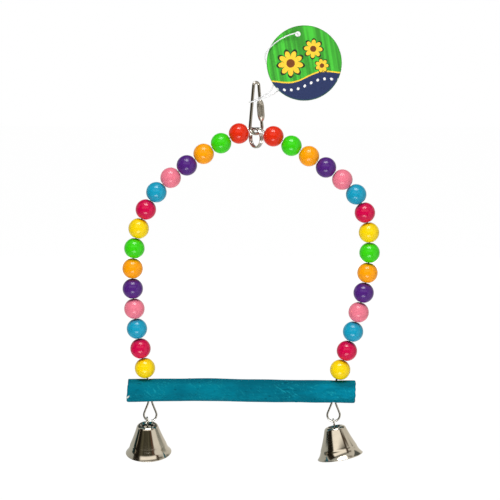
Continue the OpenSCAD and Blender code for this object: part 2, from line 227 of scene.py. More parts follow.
def noise_value(tree, vector, scale, detail=4.0, roughness=0.55):
    """Plain noise of 0 to 1."""
    inputs = {"Vector": vector, "Scale": scale, "Detail": detail, "Roughness": roughness}
    return put(tree, "ShaderNodeTexNoise", inputs).outputs["Fac"]


def mark(tree, name):
    """How strongly the mesh is marked under a name."""
    return put(tree, "ShaderNodeAttribute", attribute_name=name).outputs["Fac"]


def split_xyz(tree, vector):
    return tuple(put(tree, "ShaderNodeSeparateXYZ", {0: vector}).outputs)


def vector_of(tree, x=0.0, y=0.0, z=0.0):
    return first(tree, "ShaderNodeCombineXYZ", {0: x, 1: y, 2: z})


def vector_length(tree, vector):
    return put(tree, "ShaderNodeVectorMath", {0: vector}, operation="LENGTH").outputs["Value"]


SOCKETS = {
    "Vector": "NodeSocketVector",
    "Finish": "NodeSocketMaterial",
    "Shape": "NodeSocketGeometry",
}


def new_group(name, kind, inputs, outputs):
    """A node group with named sockets: a socket is a float unless its name or its value says otherwise."""
    tree = bpy.data.node_groups.new(name, kind)
    rows = [("INPUT", key, default) for key, default in inputs.items()] + [("OUTPUT", key, None) for key in outputs]
    for direction, key, default in rows:
        number = "NodeSocketInt" if isinstance(default, int) else "NodeSocketFloat"
        socket = tree.interface.new_socket(key, in_out=direction, socket_type=SOCKETS.get(key, number))
        if default is not None:
            socket.default_value = default
    return tree, tree.nodes.new("NodeGroupInput").outputs, tree.nodes.new("NodeGroupOutput").inputs


def give(tree, result, values):
    """Links what a group puts out."""
    for key, value in values.items():
        tree.links.new(value, result[key])
    return tree


def wear_group():
    """Fine rubbed streaks and cloudy marks for bare metal and gloss: a mask and a height."""
    tree, given, result = new_group(
        "Fine wear",
        "ShaderNodeTree",
        {"Vector": None, "Streak scale": 900.0, "Cloud scale": 140.0, "Streak share": 0.5},
        ("Mask", "Height"),
    )
    vector = given["Vector"]
    streaks = noise_value(tree, stretched(tree, vector, (1, 1, 0.12)), given["Streak scale"], 3.0, 0.7)
    cloud = noise_value(tree, vector, given["Cloud scale"], 5.0, 0.6)
    masks = {2: spread(tree, cloud, 0.35, 0.7), 3: spread(tree, streaks, 0.45, 0.75)}
    mixed = first(tree, "ShaderNodeMix", {"Factor": given["Streak share"], **masks})
    return give(tree, result, {"Mask": mixed, "Height": plus(tree, streaks, cloud)})


# The two slants of the perch's scuffs, in degrees from the grain, and their length in widths.
SCUFF_SLANTS = (34, 58)
SCUFF_LENGTH = 4.5


def grain_group():
    """Long fibres, patches of short slanted scuffs and broad clouds of a rough dyed stick that lies along X."""
    tree, given, result = new_group(
        "Dyed grain",
        "ShaderNodeTree",
        {"Vector": None, "Fibre scale": 1500.0, "Scuff scale": 1100.0},
        ("Fibre", "Scuff", "Cloud", "Height"),
    )
    vector = given["Vector"]
    fibre = noise_value(tree, stretched(tree, vector, (0.07, 1, 1)), given["Fibre scale"], 5.0, 0.65)
    strokes = []
    for slant in SCUFF_SLANTS:
        laid = {"Vector": vector, "Rotation": (0, math.radians(slant - 90), 0), "Scale": (1, 1, SCUFF_LENGTH)}
        slanted = first(tree, "ShaderNodeMapping", laid, vector_type="TEXTURE")
        strokes.append(spread(tree, noise_value(tree, slanted, given["Scuff scale"], 3.0, 0.6), 0.56, 0.68))
    patches = noise_value(tree, stretched(tree, vector, (0.6, 1, 1)), 130.0, 3.0)
    scuff = times(tree, math_node(tree, "MAXIMUM", *strokes), spread(tree, patches, 0.42, 0.62, 0.12, 1.0))
    cloud = noise_value(tree, stretched(tree, vector, (0.45, 1, 1)), 60.0, 4.0, 0.6)
    results = {
        "Fibre": spread(tree, fibre, 0.35, 0.68),
        "Scuff": scuff,
        "Cloud": spread(tree, cloud, 0.36, 0.66),
        "Height": plus(tree, times(tree, fibre, 0.4), scuff),
    }
    return give(tree, result, results)


def flower_group():
    """A plain printed flower round the origin of its vector, in X and Z: petals, outline and middle."""
    tree, given, result = new_group(
        "Printed flower",
        "ShaderNodeTree",
        {"Vector": None, "Radius": 0.006, "Petals": 9.0, "Turn": 0.0},
        ("Petal mask", "Outline mask", "Middle mask"),
    )
    x, _, z = split_xyz(tree, given["Vector"])
    reach = math_node(tree, "SQRT", plus(tree, times(tree, x, x), times(tree, z, z)))
    angle = plus(tree, math_node(tree, "ARCTAN2", z, x), given["Turn"])
    turns = times(tree, angle, math_node(tree, "DIVIDE", given["Petals"], 2.0))
    wave = math_node(tree, "ABSOLUTE", math_node(tree, "COSINE", turns))
    edge = plus(tree, 0.5, times(tree, math_node(tree, "POWER", wave, 0.6), 0.5))
    from_middle = math_node(tree, "DIVIDE", reach, given["Radius"])
    to_edge = math_node(tree, "DIVIDE", from_middle, edge)
    results = {
        "Petal mask": below(tree, to_edge, 0.83, 0.87),
        "Outline mask": below(tree, to_edge, 0.98, 1.02),
        "Middle mask": below(tree, from_middle, 0.27, 0.31),
    }
    return give(tree, result, results)


def shared(name):
    """A shader or geometry group, built on first use."""
    if name not in bpy.data.node_groups:
        GROUPS[name]()
    return bpy.data.node_groups[name]


def use_group(tree, name, inputs):
    """The outputs of a shared group that it places in a material."""
    return put(tree, "ShaderNodeGroup", inputs, node_tree=shared(name)).outputs


def new_material(name, **values):
    """A material with one Principled shader. Returns it with its tree and its Object coordinates."""
    material = bpy.data.materials.new(name)
    material.use_nodes = True
    tree = material.node_tree
    for key, value in values.items():
        tree.nodes["Principled BSDF"].inputs[key.replace("_", " ")].default_value = value
    return material, tree, put(tree, "ShaderNodeTexCoord").outputs["Object"]


def finished(material, base, rough, height=None, strength=0.1, distance=0.0001):
    """Links a material's colour and roughness to its shader, and its bump where a height is given."""
    tree = material.node_tree
    links = {"Base Color": base, "Roughness": rough}
    if height is not None:
        bump = {"Height": height, "Strength": strength, "Distance": distance}
        links["Normal"] = first(tree, "ShaderNodeBump", bump)
    give(tree, tree.nodes["Principled BSDF"].inputs, links)
    return material


def metal(name, tint, smooth, rough, streak_scale, cloud_scale, streak_share, bump, rubbed=0.75, crown_shade_share=0.06):
    """Bare plated metal with rubbed streaks and cloudy marks, and painted shade, nearly black, where its mesh is
    marked for it: the bells' dished crowns round the hole.
    """
    material, tree, place = new_material(name, Metallic=1.0)
    wear = use_group(
        tree,
        "Fine wear",
        {"Vector": place, "Streak scale": streak_scale, "Cloud scale": cloud_scale, "Streak share": streak_share},
    )
    # The second mark is painted shade: the bells' dished crowns round the hole, nearly black.
    marks = (wear["Mask"], dimmed(tint, rubbed)), (mark(tree, "crown_shade"), dimmed(tint, crown_shade_share))
    rough = ranged(tree, wear["Mask"], smooth, rough)
    return finished(material, painted(tree, tint, *marks), rough, wear["Height"], bump)


def bead_plastic(name, tint):
    """Glossy moulded plastic: a little darker and duller round the mouths of the bore."""
    material, tree, place = new_material(name, IOR=1.5, Specular_IOR_Level=0.32)
    wear = use_group(
        tree, "Fine wear", {"Vector": place, "Streak scale": 700.0, "Cloud scale": 260.0, "Streak share": 0.3}
    )
    mouth = mark(tree, "mouth")
    clouds, shade = (wear["Mask"], dimmed(tint, 0.93)), (times(tree, mouth, 0.55), dimmed(tint, 0.35))
    rough = plus(tree, ranged(tree, wear["Mask"], 0.17, 0.2), times(tree, mouth, 0.25))
    return finished(material, painted(tree, tint, clouds, shade), rough)


def dyed_wood():
    """Rough wood under a thin teal dye: light scuffs, dark fibres and pale bare chips, with painted shade along its
    top and bottom flanks, more below, and in its cuts.
    """
    material, tree, place = new_material("dyed_wood", Specular_IOR_Level=0.03)
    tint = tuple(colours().perch)
    dark = tuple(c * f for c, f in zip(tint, (1.0, 0.62, 0.66)))
    bright = tuple(c * f for c, f in zip(tint, (1.0, 1.18, 1.3)))
    grain = use_group(tree, "Dyed grain", {"Vector": place})
    lo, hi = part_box("perch")
    tall = hi[2] - lo[2]
    x, _, z = split_xyz(tree, place)
    along = spread(tree, x, lo[0], hi[0], 0.0, 1.0, False)
    cloud = math_node(tree, "MULTIPLY", grain["Cloud"], ranged(tree, along, 0.75, 1.25), True)
    # Painted shade: the stick darkens towards its top and bottom edges, more towards the bottom.
    flank = math_node(tree, "ABSOLUTE", minus(tree, z, lo[2] + tall * 0.55))
    base = painted(
        tree,
        dark,
        (cloud, tint),
        (times(tree, cloud, spread(tree, along, 0.5, 1.0)), bright),
        (times(tree, grain["Fibre"], 0.3), dark),
        # painted shade on the top and bottom flanks
        (spread(tree, flank, tall * 0.28, tall * 0.46, 0.0, 0.85), dark),
        (times(tree, grain["Scuff"], 0.55), linear(30, 158, 172)),
        # painted shade in the cuts, nearly black
        (mark(tree, "cut_shade"), dimmed(dark, 0.22)),
        (mark(tree, "bare"), linear(226, 224, 212)),
    )
    return finished(material, base, ranged(tree, grain["Fibre"], 0.6, 0.85), grain["Height"], 0.5, 0.00025)


# The tag's print, in degrees and in metres from the card's middle. A pair is where an edge's fade starts and ends.
PRINT_TURN = 10
WAVE_RATE, WAVE_HEIGHT = 190.0, 0.0016
EDGE_HEIGHT = (-0.0079, -0.0076)
BAND_HEIGHT = (-0.0087, -0.0084)
DOT_START, DOT_PITCH, DOT_DOWN, DOT_R = 0.1, 0.004, 0.0125, (0.0007, 0.0009)
FLOWERS = (
    ((-0.0078, 0.0012), 0.0085, 9.0),
    ((0.0065, 0.0072), 0.0062, 8.0),
    ((0.0098, -0.0032), 0.0045, 7.0),
)
FLOWER_TURN = 40
CARD_RIM = (0.0208, 0.0218)


def printed_card():
    """The tag's printed front: broad green tones, a dark wavy foot with a row of dots and plain flowers."""
    material, tree, place = new_material("printed_card", Coat_Weight=0.4, Coat_Roughness=0.12)
    lo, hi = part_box("hang_tag")
    centred = moved(tree, place, (Vector(lo) + Vector(hi)) / -2)
    turned = stretched(tree, centred, (1, 1, 1), (0, math.radians(PRINT_TURN), 0))
    x, _, z = split_xyz(tree, turned)
    green, motif = tuple(colours().card), tuple(colours().motif)
    tones = noise_value(tree, stretched(tree, turned, (1, 0, 0.03)), 230.0, 2.0, 0.6)
    pale = [min(1, c) for c in dimmed(green, 1.25)]
    foot = minus(tree, z, times(tree, math_node(tree, "SINE", times(tree, x, WAVE_RATE)), WAVE_HEIGHT))
    dot_x = minus(tree, math_node(tree, "MODULO", plus(tree, x, DOT_START), DOT_PITCH), DOT_PITCH / 2)
    dots = vector_length(tree, vector_of(tree, dot_x, 0.0, plus(tree, foot, DOT_DOWN)))
    layers = [
        (spread(tree, tones, 0.42, 0.6), pale),
        (below(tree, foot, *EDGE_HEIGHT), motif),
        (below(tree, foot, *BAND_HEIGHT), tuple(colours().band)),
        (below(tree, dots, *DOT_R), (0.9, 0.9, 0.9)),
    ]
    for (across, up), radius, petals in FLOWERS:
        spot = moved(tree, turned, (-across, 0, -up))
        inputs = {"Vector": spot, "Radius": radius, "Petals": petals, "Turn": radius * FLOWER_TURN}
        flower = use_group(tree, "Printed flower", inputs)
        layers += [
            (flower["Outline mask"], linear(24, 44, 16)),
            (flower["Petal mask"], motif),
            (flower["Middle mask"], linear(120, 62, 14)),
        ]
    from_middle = vector_length(tree, stretched(tree, centred, (1, 0, 1)))
    layers.append((spread(tree, from_middle, *CARD_RIM, 0.0, 0.55), dimmed(green, 0.35)))
    fibre = noise_value(tree, place, 2600.0, 3.0)
    base = painted(tree, dimmed(green, 0.62), *layers)
    return finished(material, base, ranged(tree, fibre, 0.38, 0.52), fibre, 0.08)


def clouded(name, scale, detail, dark, light, smooth, rough, bump, **values):
    """A plain finish with fine clouds in its colour, its gloss and its bump."""
    material, tree, place = new_material(name, **values)
    cloud = noise_value(tree, place, scale, detail)
    base = blend_colour(tree, cloud, linear(*dark), linear(*light))
    return finished(material, base, ranged(tree, cloud, smooth, rough), cloud, bump)


FINISHES = {
    "clip_steel": lambda: metal("clip_steel", (0.47, 0.44, 0.39), 0.1, 0.24, 1400.0, 260.0, 0.6, 0.08),
    "nut_steel": lambda: metal("nut_steel", (0.6, 0.56, 0.49), 0.3, 0.55, 2200.0, 700.0, 0.4, 0.35, 0.6),
    "arch_steel": lambda: metal("arch_steel", tuple(colours().steel), 0.1, 0.25, 1600.0, 240.0, 0.6, 0.08),
    "bell_nickel": lambda: metal("bell_nickel", tuple(colours().nickel), 0.07, 0.17, 1200.0, 110.0, 0.25, 0.05, 0.88),
    "hanger_steel": lambda: metal("hanger_steel", (0.47, 0.45, 0.4), 0.14, 0.3, 1600.0, 300.0, 0.6, 0.1),
    "clapper_steel": lambda: metal("clapper_steel", (0.42, 0.39, 0.34), 0.3, 0.5, 900.0, 240.0, 0.4, 0.25),
    "dyed_wood": dyed_wood,
    "printed_card": printed_card,
    "bare_card": lambda: clouded("bare_card", 1800.0, 5.0, (214, 214, 206), (240, 240, 234), 0.6, 0.75, 0.2),
    "clear_nylon": lambda: clouded(
        "clear_nylon", 500.0, 3.0, (226, 227, 228), (244, 245, 246), 0.18, 0.34, 0.1,
        IOR=1.5, Transmission_Weight=0.15, Specular_IOR_Level=0.5,
    ),
}


def finish_for(name):
    """The material for a finish, built on first use. The frame's own plain materials keep their names."""
    full_name = f"swing_{name}"
    if full_name not in bpy.data.materials:
        made = bead_plastic(name, BEAD_PAINT[name[5:]]) if name.startswith("bead_") else FINISHES[name]()
        made.name = full_name
    return bpy.data.materials[full_name]


# ---------------------------------------------------------------- geometry node trees


def shape_tree(name, inputs):
    """A geometry tree that takes a shape, sizes and a finish, and puts out a shape."""
    return new_group(name, "GeometryNodeTree", {"Shape": None, **inputs, "Finish": None}, ("Shape",))


def end_tree(tree, given, result, shape):
    real = first(tree, "GeometryNodeRealizeInstances", {0: shape})
    done = first(tree, "GeometryNodeSetMaterial", {"Geometry": real, "Material": given["Finish"]})
    return give(tree, result, {"Shape": done})


def join_shapes(tree, *shapes):
    node = tree.nodes.new("GeometryNodeJoinGeometry")
    for shape in shapes:
        tree.links.new(shape, node.inputs[0])
    return node.outputs[0]


def swept(tree, line, sides, radius):
    """A closed bar with a round section along a curve."""
    ring = first(tree, "GeometryNodeCurvePrimitiveCircle", {"Resolution": sides, "Radius": radius})
    return first(tree, "GeometryNodeCurveToMesh", {"Curve": line, "Profile Curve": ring, "Fill Caps": True})


def wire_tree():
    """A round wire along the line of edges that it is given."""
    tree, given, result = shape_tree("Round wire along a line", {"Diameter": 0.001, "Sides": 24})
    line = first(tree, "GeometryNodeMeshToCurve", {0: given["Shape"]})
    bar = swept(tree, line, given["Sides"], times(tree, given["Diameter"], 0.5))
    return end_tree(tree, given, result, first(tree, "GeometryNodeSetShadeSmooth", {"Geometry": bar}))


def rib_tree():
    """Ribs round the barrel that it is given, which stands on the origin along Z."""
    sizes_of_ribs = {"Ribs": 26, "Radius": 0.002, "Rib width": 0.0003, "Rib length": 0.006, "Middle": 0.006}
    tree, given, result = shape_tree("Ribs round a barrel", sizes_of_ribs)
    ring = first(tree, "GeometryNodeMeshCircle", {"Vertices": given["Ribs"], "Radius": given["Radius"]})
    bar = vector_of(tree, given["Rib width"], given["Rib width"], given["Rib length"])
    rib = first(tree, "GeometryNodeMeshCube", {"Size": bar, "Vertices Z": 6})
    share = math_node(tree, "DIVIDE", first(tree, "GeometryNodeInputIndex"), given["Ribs"])
    turn = vector_of(tree, z=plus(tree, times(tree, share, 2 * math.pi), math.pi / 4))
    ribs = first(tree, "GeometryNodeInstanceOnPoints", {"Points": ring, "Instance": rib, "Rotation": turn})
    lift = vector_of(tree, z=given["Middle"])
    lifted = first(tree, "GeometryNodeTransform", {"Geometry": ribs, "Translation": lift})
    return end_tree(tree, given, result, join_shapes(tree, lifted, given["Shape"]))


def splinter_tree():
    """Slivers of raised grain scattered over the stick that it is given, all lying nearly along X."""
    sizes_of_slivers = {"Density": 40000.0, "Length": 0.0035, "Thickness": 0.00022, "Seed": 7}
    tree, given, result = shape_tree("Raised slivers", sizes_of_slivers)
    seed = given["Seed"]
    facing, _, _ = split_xyz(tree, first(tree, "GeometryNodeInputNormal"))
    sides = {0: math_node(tree, "ABSOLUTE", facing), 1: 0.5}
    round_side = first(tree, "FunctionNodeCompare", sides, operation="LESS_THAN")
    where = {"Mesh": given["Shape"], "Selection": round_side, "Density": given["Density"], "Seed": seed}
    spots = put(tree, "GeometryNodeDistributePointsOnFaces", where).outputs
    slants = {"Min": (0, 0, -0.2), "Max": (0, 0, 0.9), "Seed": seed}
    slant = first(tree, "FunctionNodeRandomValue", slants, data_type="FLOAT_VECTOR")
    turn = {0: spots["Rotation"], 1: first(tree, "FunctionNodeEulerToRotation", {0: slant})}
    lie = first(tree, "FunctionNodeRotateRotation", turn, rotation_space="LOCAL")
    ball = first(tree, "GeometryNodeMeshIcoSphere", {"Radius": 0.5, "Subdivisions": 2})
    bar = vector_of(tree, given["Length"], given["Thickness"], given["Thickness"])
    sliver = first(tree, "GeometryNodeTransform", {"Geometry": ball, "Scale": bar})
    scales = {"Min": 0.35, "Max": 1.0, "Seed": seed}
    scale = put(tree, "FunctionNodeRandomValue", scales, data_type="FLOAT").outputs[1]
    laid = {"Points": spots["Points"], "Instance": sliver, "Rotation": lie, "Scale": scale}
    slivers = first(tree, "GeometryNodeInstanceOnPoints", laid)
    soft = first(tree, "GeometryNodeSetShadeSmooth", {"Geometry": slivers})
    return end_tree(tree, given, result, join_shapes(tree, soft, given["Shape"]))


def thread_tree():
    """A screw thread as a fine ridge wound along Z from the origin. The shape that it is given isn't used."""
    sizes_of_thread = {"Radius": 0.0008, "Turns": 6.0, "Length": 0.003, "Ridge": 0.00016}
    tree, given, result = shape_tree("Screw thread", sizes_of_thread)
    winding = {
        "Resolution": 20,
        "Rotations": given["Turns"],
        "Start Radius": given["Radius"],
        "End Radius": given["Radius"],
        "Height": given["Length"],
    }
    spiral = first(tree, "GeometryNodeCurveSpiral", winding)
    return end_tree(tree, given, result, swept(tree, spiral, 4, given["Ridge"]))


GROUPS = {
    "Fine wear": wear_group,
    "Dyed grain": grain_group,
    "Printed flower": flower_group,
    "Round wire along a line": wire_tree,
    "Ribs round a barrel": rib_tree,
    "Raised slivers": splinter_tree,
    "Screw thread": thread_tree,
}


# ---------------------------------------------------------------- meshes


def new_object(name, mesh):
    piece = bpy.data.objects.new(name, mesh)
    bpy.context.scene.collection.objects.link(piece)
    return piece


def line_object(points):
    """An object of edges only, through the points in millimetres."""
    mesh = bpy.data.meshes.new("line")
    mesh.from_pydata([tuple(Vector(p) * MM) for p in points], [(i, i + 1) for i in range(len(points) - 1)], [])
    return new_object("line", mesh)


def filled(mesh, shape, smooth=True):
    """Puts a bmesh into a mesh and frees it."""
    shape.to_mesh(mesh)
    shape.free()
    if smooth:
        mesh.polygons.foreach_set("use_smooth", [True] * len(mesh.polygons))
    return mesh


def applied(source, modifier):
    """The plain mesh that an object's modifier makes. The modifier is removed."""
    graph = bpy.context.evaluated_depsgraph_get()
    graph.update()
    mesh = bpy.data.meshes.new_from_object(source.evaluated_get(graph), depsgraph=graph)
    source.modifiers.remove(modifier)
    return mesh


def grown(source, name, tree_name, values):
    """Runs a geometry node tree on an object and puts a plain mesh in its place."""
    modifier = source.modifiers.new(tree_name, "NODES")
    modifier.node_group = shared(tree_name)
    for item in modifier.node_group.interface.items_tree:
        if item.in_out == "INPUT" and item.name in values:
            modifier[item.identifier] = values[item.name]
    mesh = applied(source, modifier)
    bpy.data.objects.remove(source)
    mesh.name = name
    return new_object(name, mesh)


def tidy_mesh(mesh, merge=1e-7):
    """Merges doubles and turns the faces of a closed shell outwards."""
    shape = bmesh.new()
    shape.from_mesh(mesh)
    bmesh.ops.remove_doubles(shape, verts=shape.verts, dist=merge)
    bmesh.ops.recalc_face_normals(shape, faces=shape.faces)
    filled(mesh, shape)


def wire(name, points, diameter, finish, sides=24):
    """A round wire through points in millimetres, in its finish."""
    values = {"Diameter": diameter, "Sides": sides, "Finish": finish_for(finish)}
    piece = grown(line_object(points), name, "Round wire along a line", values)
    tidy_mesh(piece.data)
    return piece


def around(steps):
    """Evenly spaced angles of a full turn, in radians."""
    return [2 * math.pi * k / steps for k in range(steps)]


def bridge(shape, a, b):
    """Faces between two rings of as many corners."""
    for k in range(len(a)):
        after = (k + 1) % len(a)
        shape.faces.new((a[k], a[after], b[after], b[k]))


def turned_mesh(name, outline, steps, closed=True, marks=None, matrix=None, mark_name="mouth"):
    """A body of revolution round Z. The outline is [radius, z] in millimetres, closed or from pole to pole."""
    shape = bmesh.new()
    layer = shape.verts.layers.float.new(mark_name) if marks else None
    rows = []
    for number, (radius, z) in enumerate(outline):
        row = []
        for angle in around(steps)[: 1 if radius < 1e-6 else steps]:
            vert = shape.verts.new((radius * math.cos(angle) * MM, radius * math.sin(angle) * MM, z * MM))
            if layer:
                vert[layer] = marks[number]
            row.append(vert)
        rows.append(row)
    for low, high in list(zip(rows, rows[1:])) + ([(rows[-1], rows[0])] if closed else []):
        for k in range(steps):
            corners = [low[k % len(low)], low[(k + 1) % len(low)], high[(k + 1) % len(high)], high[k % len(high)]]
            corners = list(dict.fromkeys(corners))
            if len(corners) > 2:
                shape.faces.new(corners)
    bmesh.ops.recalc_face_normals(shape, faces=shape.faces)
    if matrix:
        shape.transform(matrix)
    return filled(bpy.data.meshes.new(name), shape)


def joined(name, pieces):
    """One object from several meshes in the same place."""
    shape = bmesh.new()
    materials = []
    for piece in pieces:
        start = len(shape.faces)
        shape.from_mesh(piece.data)
        shape.faces.ensure_lookup_table()
        finish = piece.data.materials[0]
        if finish not in materials:
            materials.append(finish)
        for face in shape.faces[start:]:
            face.material_index = materials.index(finish)
        bpy.data.objects.remove(piece)
    mesh = filled(bpy.data.meshes.new(name), shape)
    for finish in materials:
        mesh.materials.append(finish)
    return new_object(name, mesh)


def dress(piece, finish):
    piece.data.materials.clear()
    piece.data.materials.append(finish_for(finish))
    return piece


def clamped(value):
    return max(0.0, min(1.0, value))


# ---------------------------------------------------------------- places taken from the frame


def joint(name):
    return next(j for j in frame["record"]["behaviour"]["joints"] if j["name"] == name)


def bead_places(side_name, side):
    """Each bead's middle as [out, z, degrees below level], in millimetres."""
    places = []
    for i in range(BEADS):
        turn = joint(f"turn_bead_{side_name}_{i + 1:02d}")
        x, _, z = turn["pos_m"]
        ax, _, az = turn["axis"]
        places.append((side * x / MM, z / MM, math.degrees(math.atan2(-az, side * ax))))
    return places


def bend_on(place, length, turn):
    """A place [out, z, degrees below level] carried along an arc of that length and turn."""
    out, z, below_level = place
    half = math.radians(turn / 2)
    chord = length if abs(half) < 1e-9 else length * math.sin(half) / half
    way = math.radians(below_level + turn / 2)
    return out + chord * math.cos(way), z - chord * math.sin(way), below_level + turn


def bend(radius, height, first_angle, last_angle, steps):
    """An arc of steps + 1 points as [across, height], between two angles in radians."""
    angles = [first_angle + (last_angle - first_angle) * i / steps for i in range(steps + 1)]
    return [(radius * math.cos(a), height + radius * math.sin(a)) for a in angles]


def straight(a, b, steps):
    """Evenly spaced points from a to b, without a itself."""
    return [tuple(p + (q - p) * i / steps for p, q in zip(a, b)) for i in range(1, steps + 1)]


def drop(radius, throat_radius, flare, half, throat_steps=8, round_steps=24):
    """A drop-shaped loop as [across, down] from the top of its throat, from one leg round to the other."""
    turn = math.radians(flare)
    line = (radius * math.cos(turn) - half - throat_radius * (1 - math.cos(turn))) / math.sin(turn)
    depth = throat_radius * math.sin(turn) + line * math.cos(turn) + radius * math.sin(turn)
    points = []
    for i in range(throat_steps + 1):
        a = turn * i / throat_steps
        points.append((half + throat_radius * (1 - math.cos(a)), throat_radius * math.sin(a)))
    points += bend(radius, depth, -turn, math.pi / 2, round_steps)
    return points + [(-x, y) for x, y in points[-2::-1]], depth


def bezier(a, b, c, d, share):
    rest = 1 - share
    return a * rest**3 + 3 * b * share * rest**2 + 3 * c * share**2 * rest + d * share**3


# Shape of the arch wire, in millimetres and degrees.
FOOT_BEND_R = 6.0
FOOT_LEG = 1.1
LOOP_R = 3.7
LOOP_THROAT_R = 3.0
LOOP_FLARE = 22
TAIL_SHARE = 0.4
EYE_R = 5.5
EYE_WIRE_R = 0.6
EYE_TURN = -52
EYE_TURNS = 2
EYE_STEPS = 48
ARM_REACH = 4.8
ARM_PULL = 3.6
ARM_STEPS = 20
FOOT_STEPS = 8
BEAD_STEPS = 6


def foot_hole(places):
    """The arc that brings the wire upright at the perch's top, and how far out its hole is."""
    out, z, below_level = places[-1]
    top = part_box("perch")[1][2] / MM
    start = (out + (z - top) / math.tan(math.radians(below_level)), top, below_level)
    length, turn = FOOT_BEND_R * math.radians(below_level - 90), 90 - below_level
    arc = [bend_on(start, length * i / FOOT_STEPS, turn * i / FOOT_STEPS) for i in range(1, FOOT_STEPS + 1)]
    return arc, arc[-1][0] - FOOT_LEG


def side_line(places, side):
    """The wire from the first bead down through all of them, through the perch, round its loop and back up."""
    line = []
    for here, there in zip(places, places[1:]):
        turn = there[2] - here[2]
        half = math.radians(turn / 2)
        arc = math.dist(here[:2], there[:2]) * half / math.sin(half)
        line += [bend_on(here, arc * i / BEAD_STEPS, turn * i / BEAD_STEPS) for i in range(BEAD_STEPS)]
    line.append(places[-1])
    arc, hole = foot_hole(places)
    line = [(side * p[0], 0, p[1]) for p in line + arc]
    bottom, top = (corner[2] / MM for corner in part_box("perch"))
    loop, _ = drop(LOOP_R, LOOP_THROAT_R, LOOP_FLARE, FOOT_LEG)
    line += [(side * (hole + x), 0, bottom - down) for x, down in loop]
    line.append((side * (hole - FOOT_LEG), 0, bottom + TAIL_SHARE * (top - bottom)))
    return line


def arch_line():
    """The whole arch wire as one line, in millimetres."""
    left, right = bead_places("left", -1), bead_places("right", 1)
    eye_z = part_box("arch_wire")[1][2] / MM - EYE_R - EYE_WIRE_R
    turn = math.radians(EYE_TURN)
    along = Vector((math.cos(turn), math.sin(turn), 0))
    axis = Vector((-math.sin(turn), math.cos(turn), 0))
    pitch = sizes().eye_pitch / MM
    eye = []
    for i in range(EYE_TURNS * EYE_STEPS + 1):
        a = 2 * math.pi * i / EYE_STEPS
        middle = Vector((0, 0, eye_z + EYE_R * math.cos(a)))
        eye.append(middle + along * EYE_R * math.sin(a) + axis * pitch * (i / EYE_STEPS - EYE_TURNS / 2))
    arms = []
    for places, side, end, way in ((left, -1, eye[0], -along), (right, 1, eye[-1], along)):
        out, z, below_level = places[0]
        down = math.radians(below_level)
        back = Vector((-side * math.cos(down), 0, math.sin(down)))
        start = Vector((side * out, 0, z)) + back * ARM_REACH
        pulls = start + back * ARM_PULL, end + way * ARM_PULL
        arms.append([bezier(start, *pulls, end, i / ARM_STEPS) for i in range(ARM_STEPS)])
    left_line, right_line = ([Vector(p) for p in side_line(*half)] for half in ((left, -1), (right, 1)))
    return left_line[::-1] + arms[0] + eye + arms[1][::-1] + right_line


# Shape of the clip, in millimetres and degrees.
CLIP_TURN = 32
CLIP_TOP_R = 1.8
CLIP_BOTTOM_R = 4.1
CLIP_INNER_H = 28
NUT_SEAT = 3.0
NUT_H = 12.2
GAP_SHARES = (0.18, 0.52)


def clip_shape():
    """Middle heights of the clip's two bends and the lean of its legs."""
    radius = sizes().clip_wire_d / MM / 2
    top = radius - CLIP_TOP_R
    bottom = CLIP_BOTTOM_R - radius - CLIP_INNER_H
    return top, bottom, math.asin((CLIP_BOTTOM_R - CLIP_TOP_R) / (top - bottom))


def leg_foot():
    """Where the clip's right leg starts, as [across, z] in millimetres."""
    _, bottom, lean = clip_shape()
    return CLIP_BOTTOM_R * math.cos(lean), bottom + CLIP_BOTTOM_R * math.sin(lean)


def leg_matrix(up):
    """From the origin to a place on the clip's right leg, so far up it in millimetres, with Z along the leg."""
    x, z = leg_foot()
    lean = clip_shape()[2]
    stand = Matrix.Translation((x * MM, 0, z * MM)) @ Matrix.Rotation(-lean, 4, "Y")
    return Matrix.Rotation(math.radians(CLIP_TURN), 4, "Z") @ stand @ Matrix.Translation((0, 0, up * MM))


def clip_line():
    """The clip's wire from under its gap round both bends to above the gap, in millimetres."""
    top, bottom, lean = clip_shape()
    (x, z), ends = leg_foot(), [NUT_SEAT + NUT_H * share for share in GAP_SHARES]
    low_end, high_end = ((x - math.sin(lean) * up, z + math.cos(lean) * up) for up in ends)
    low_bend = bend(CLIP_BOTTOM_R, bottom, lean, -math.pi - lean, 48)
    top_bend = bend(CLIP_TOP_R, top, math.pi - lean, lean, 32)
    line = straight((x, z), low_end, 6)[::-1] + low_bend + straight(low_bend[-1], top_bend[0], 12)[:-1]
    line += top_bend + straight(top_bend[-1], high_end, 8)
    turn = math.radians(CLIP_TURN)
    return [(x * math.cos(turn), x * math.sin(turn), z) for x, z in line]


# Shape of a bell and what hangs in it, in millimetres and degrees. A name with WALLS or WIRES counts thicknesses of
# the bell's wall or of the hanger's wire, and one with SHARE is a share of the bell's height or of its lip.
BELL_TURNS = {"left": (15, -1.5), "right": (0, -11)}
BELL_D = 27
BELL_H = 18.2
CROWN_D = 13
SEAT_GAP = 0.15
HANGER_R = 1.7
HANGER_LEG = 0.6
HANGER_FLARE = 50
HANGER_THROAT_R = 0.9
CROWN_GAP = 1.8
CROWN_DISH = 1.2
CROWN_HOLE_D = 4.4
CROWN_SOFT_WALLS = 3.5
DISH_SHAPE = ((0.7, 1.0), (0.8, 0.8), (0.92, 0.2))
MOUTH_SOFT = 0.12
FOOT_LEN, FOOT_R_WIRES = 2.6, 0.8
LIP_WALLS = 0.55
RIDGE_R_SHARE, RIDGE_DOWN_SHARE, RIDGE_WALLS = 0.79, 0.69, 0.08
RIDGE_REACH, RIDGE_LOW = 1.2, 0.3
FLANK_CURVE = (0.82, 0.18)
SKIRT_CURVE = (0.44, 0.28, 0.28)
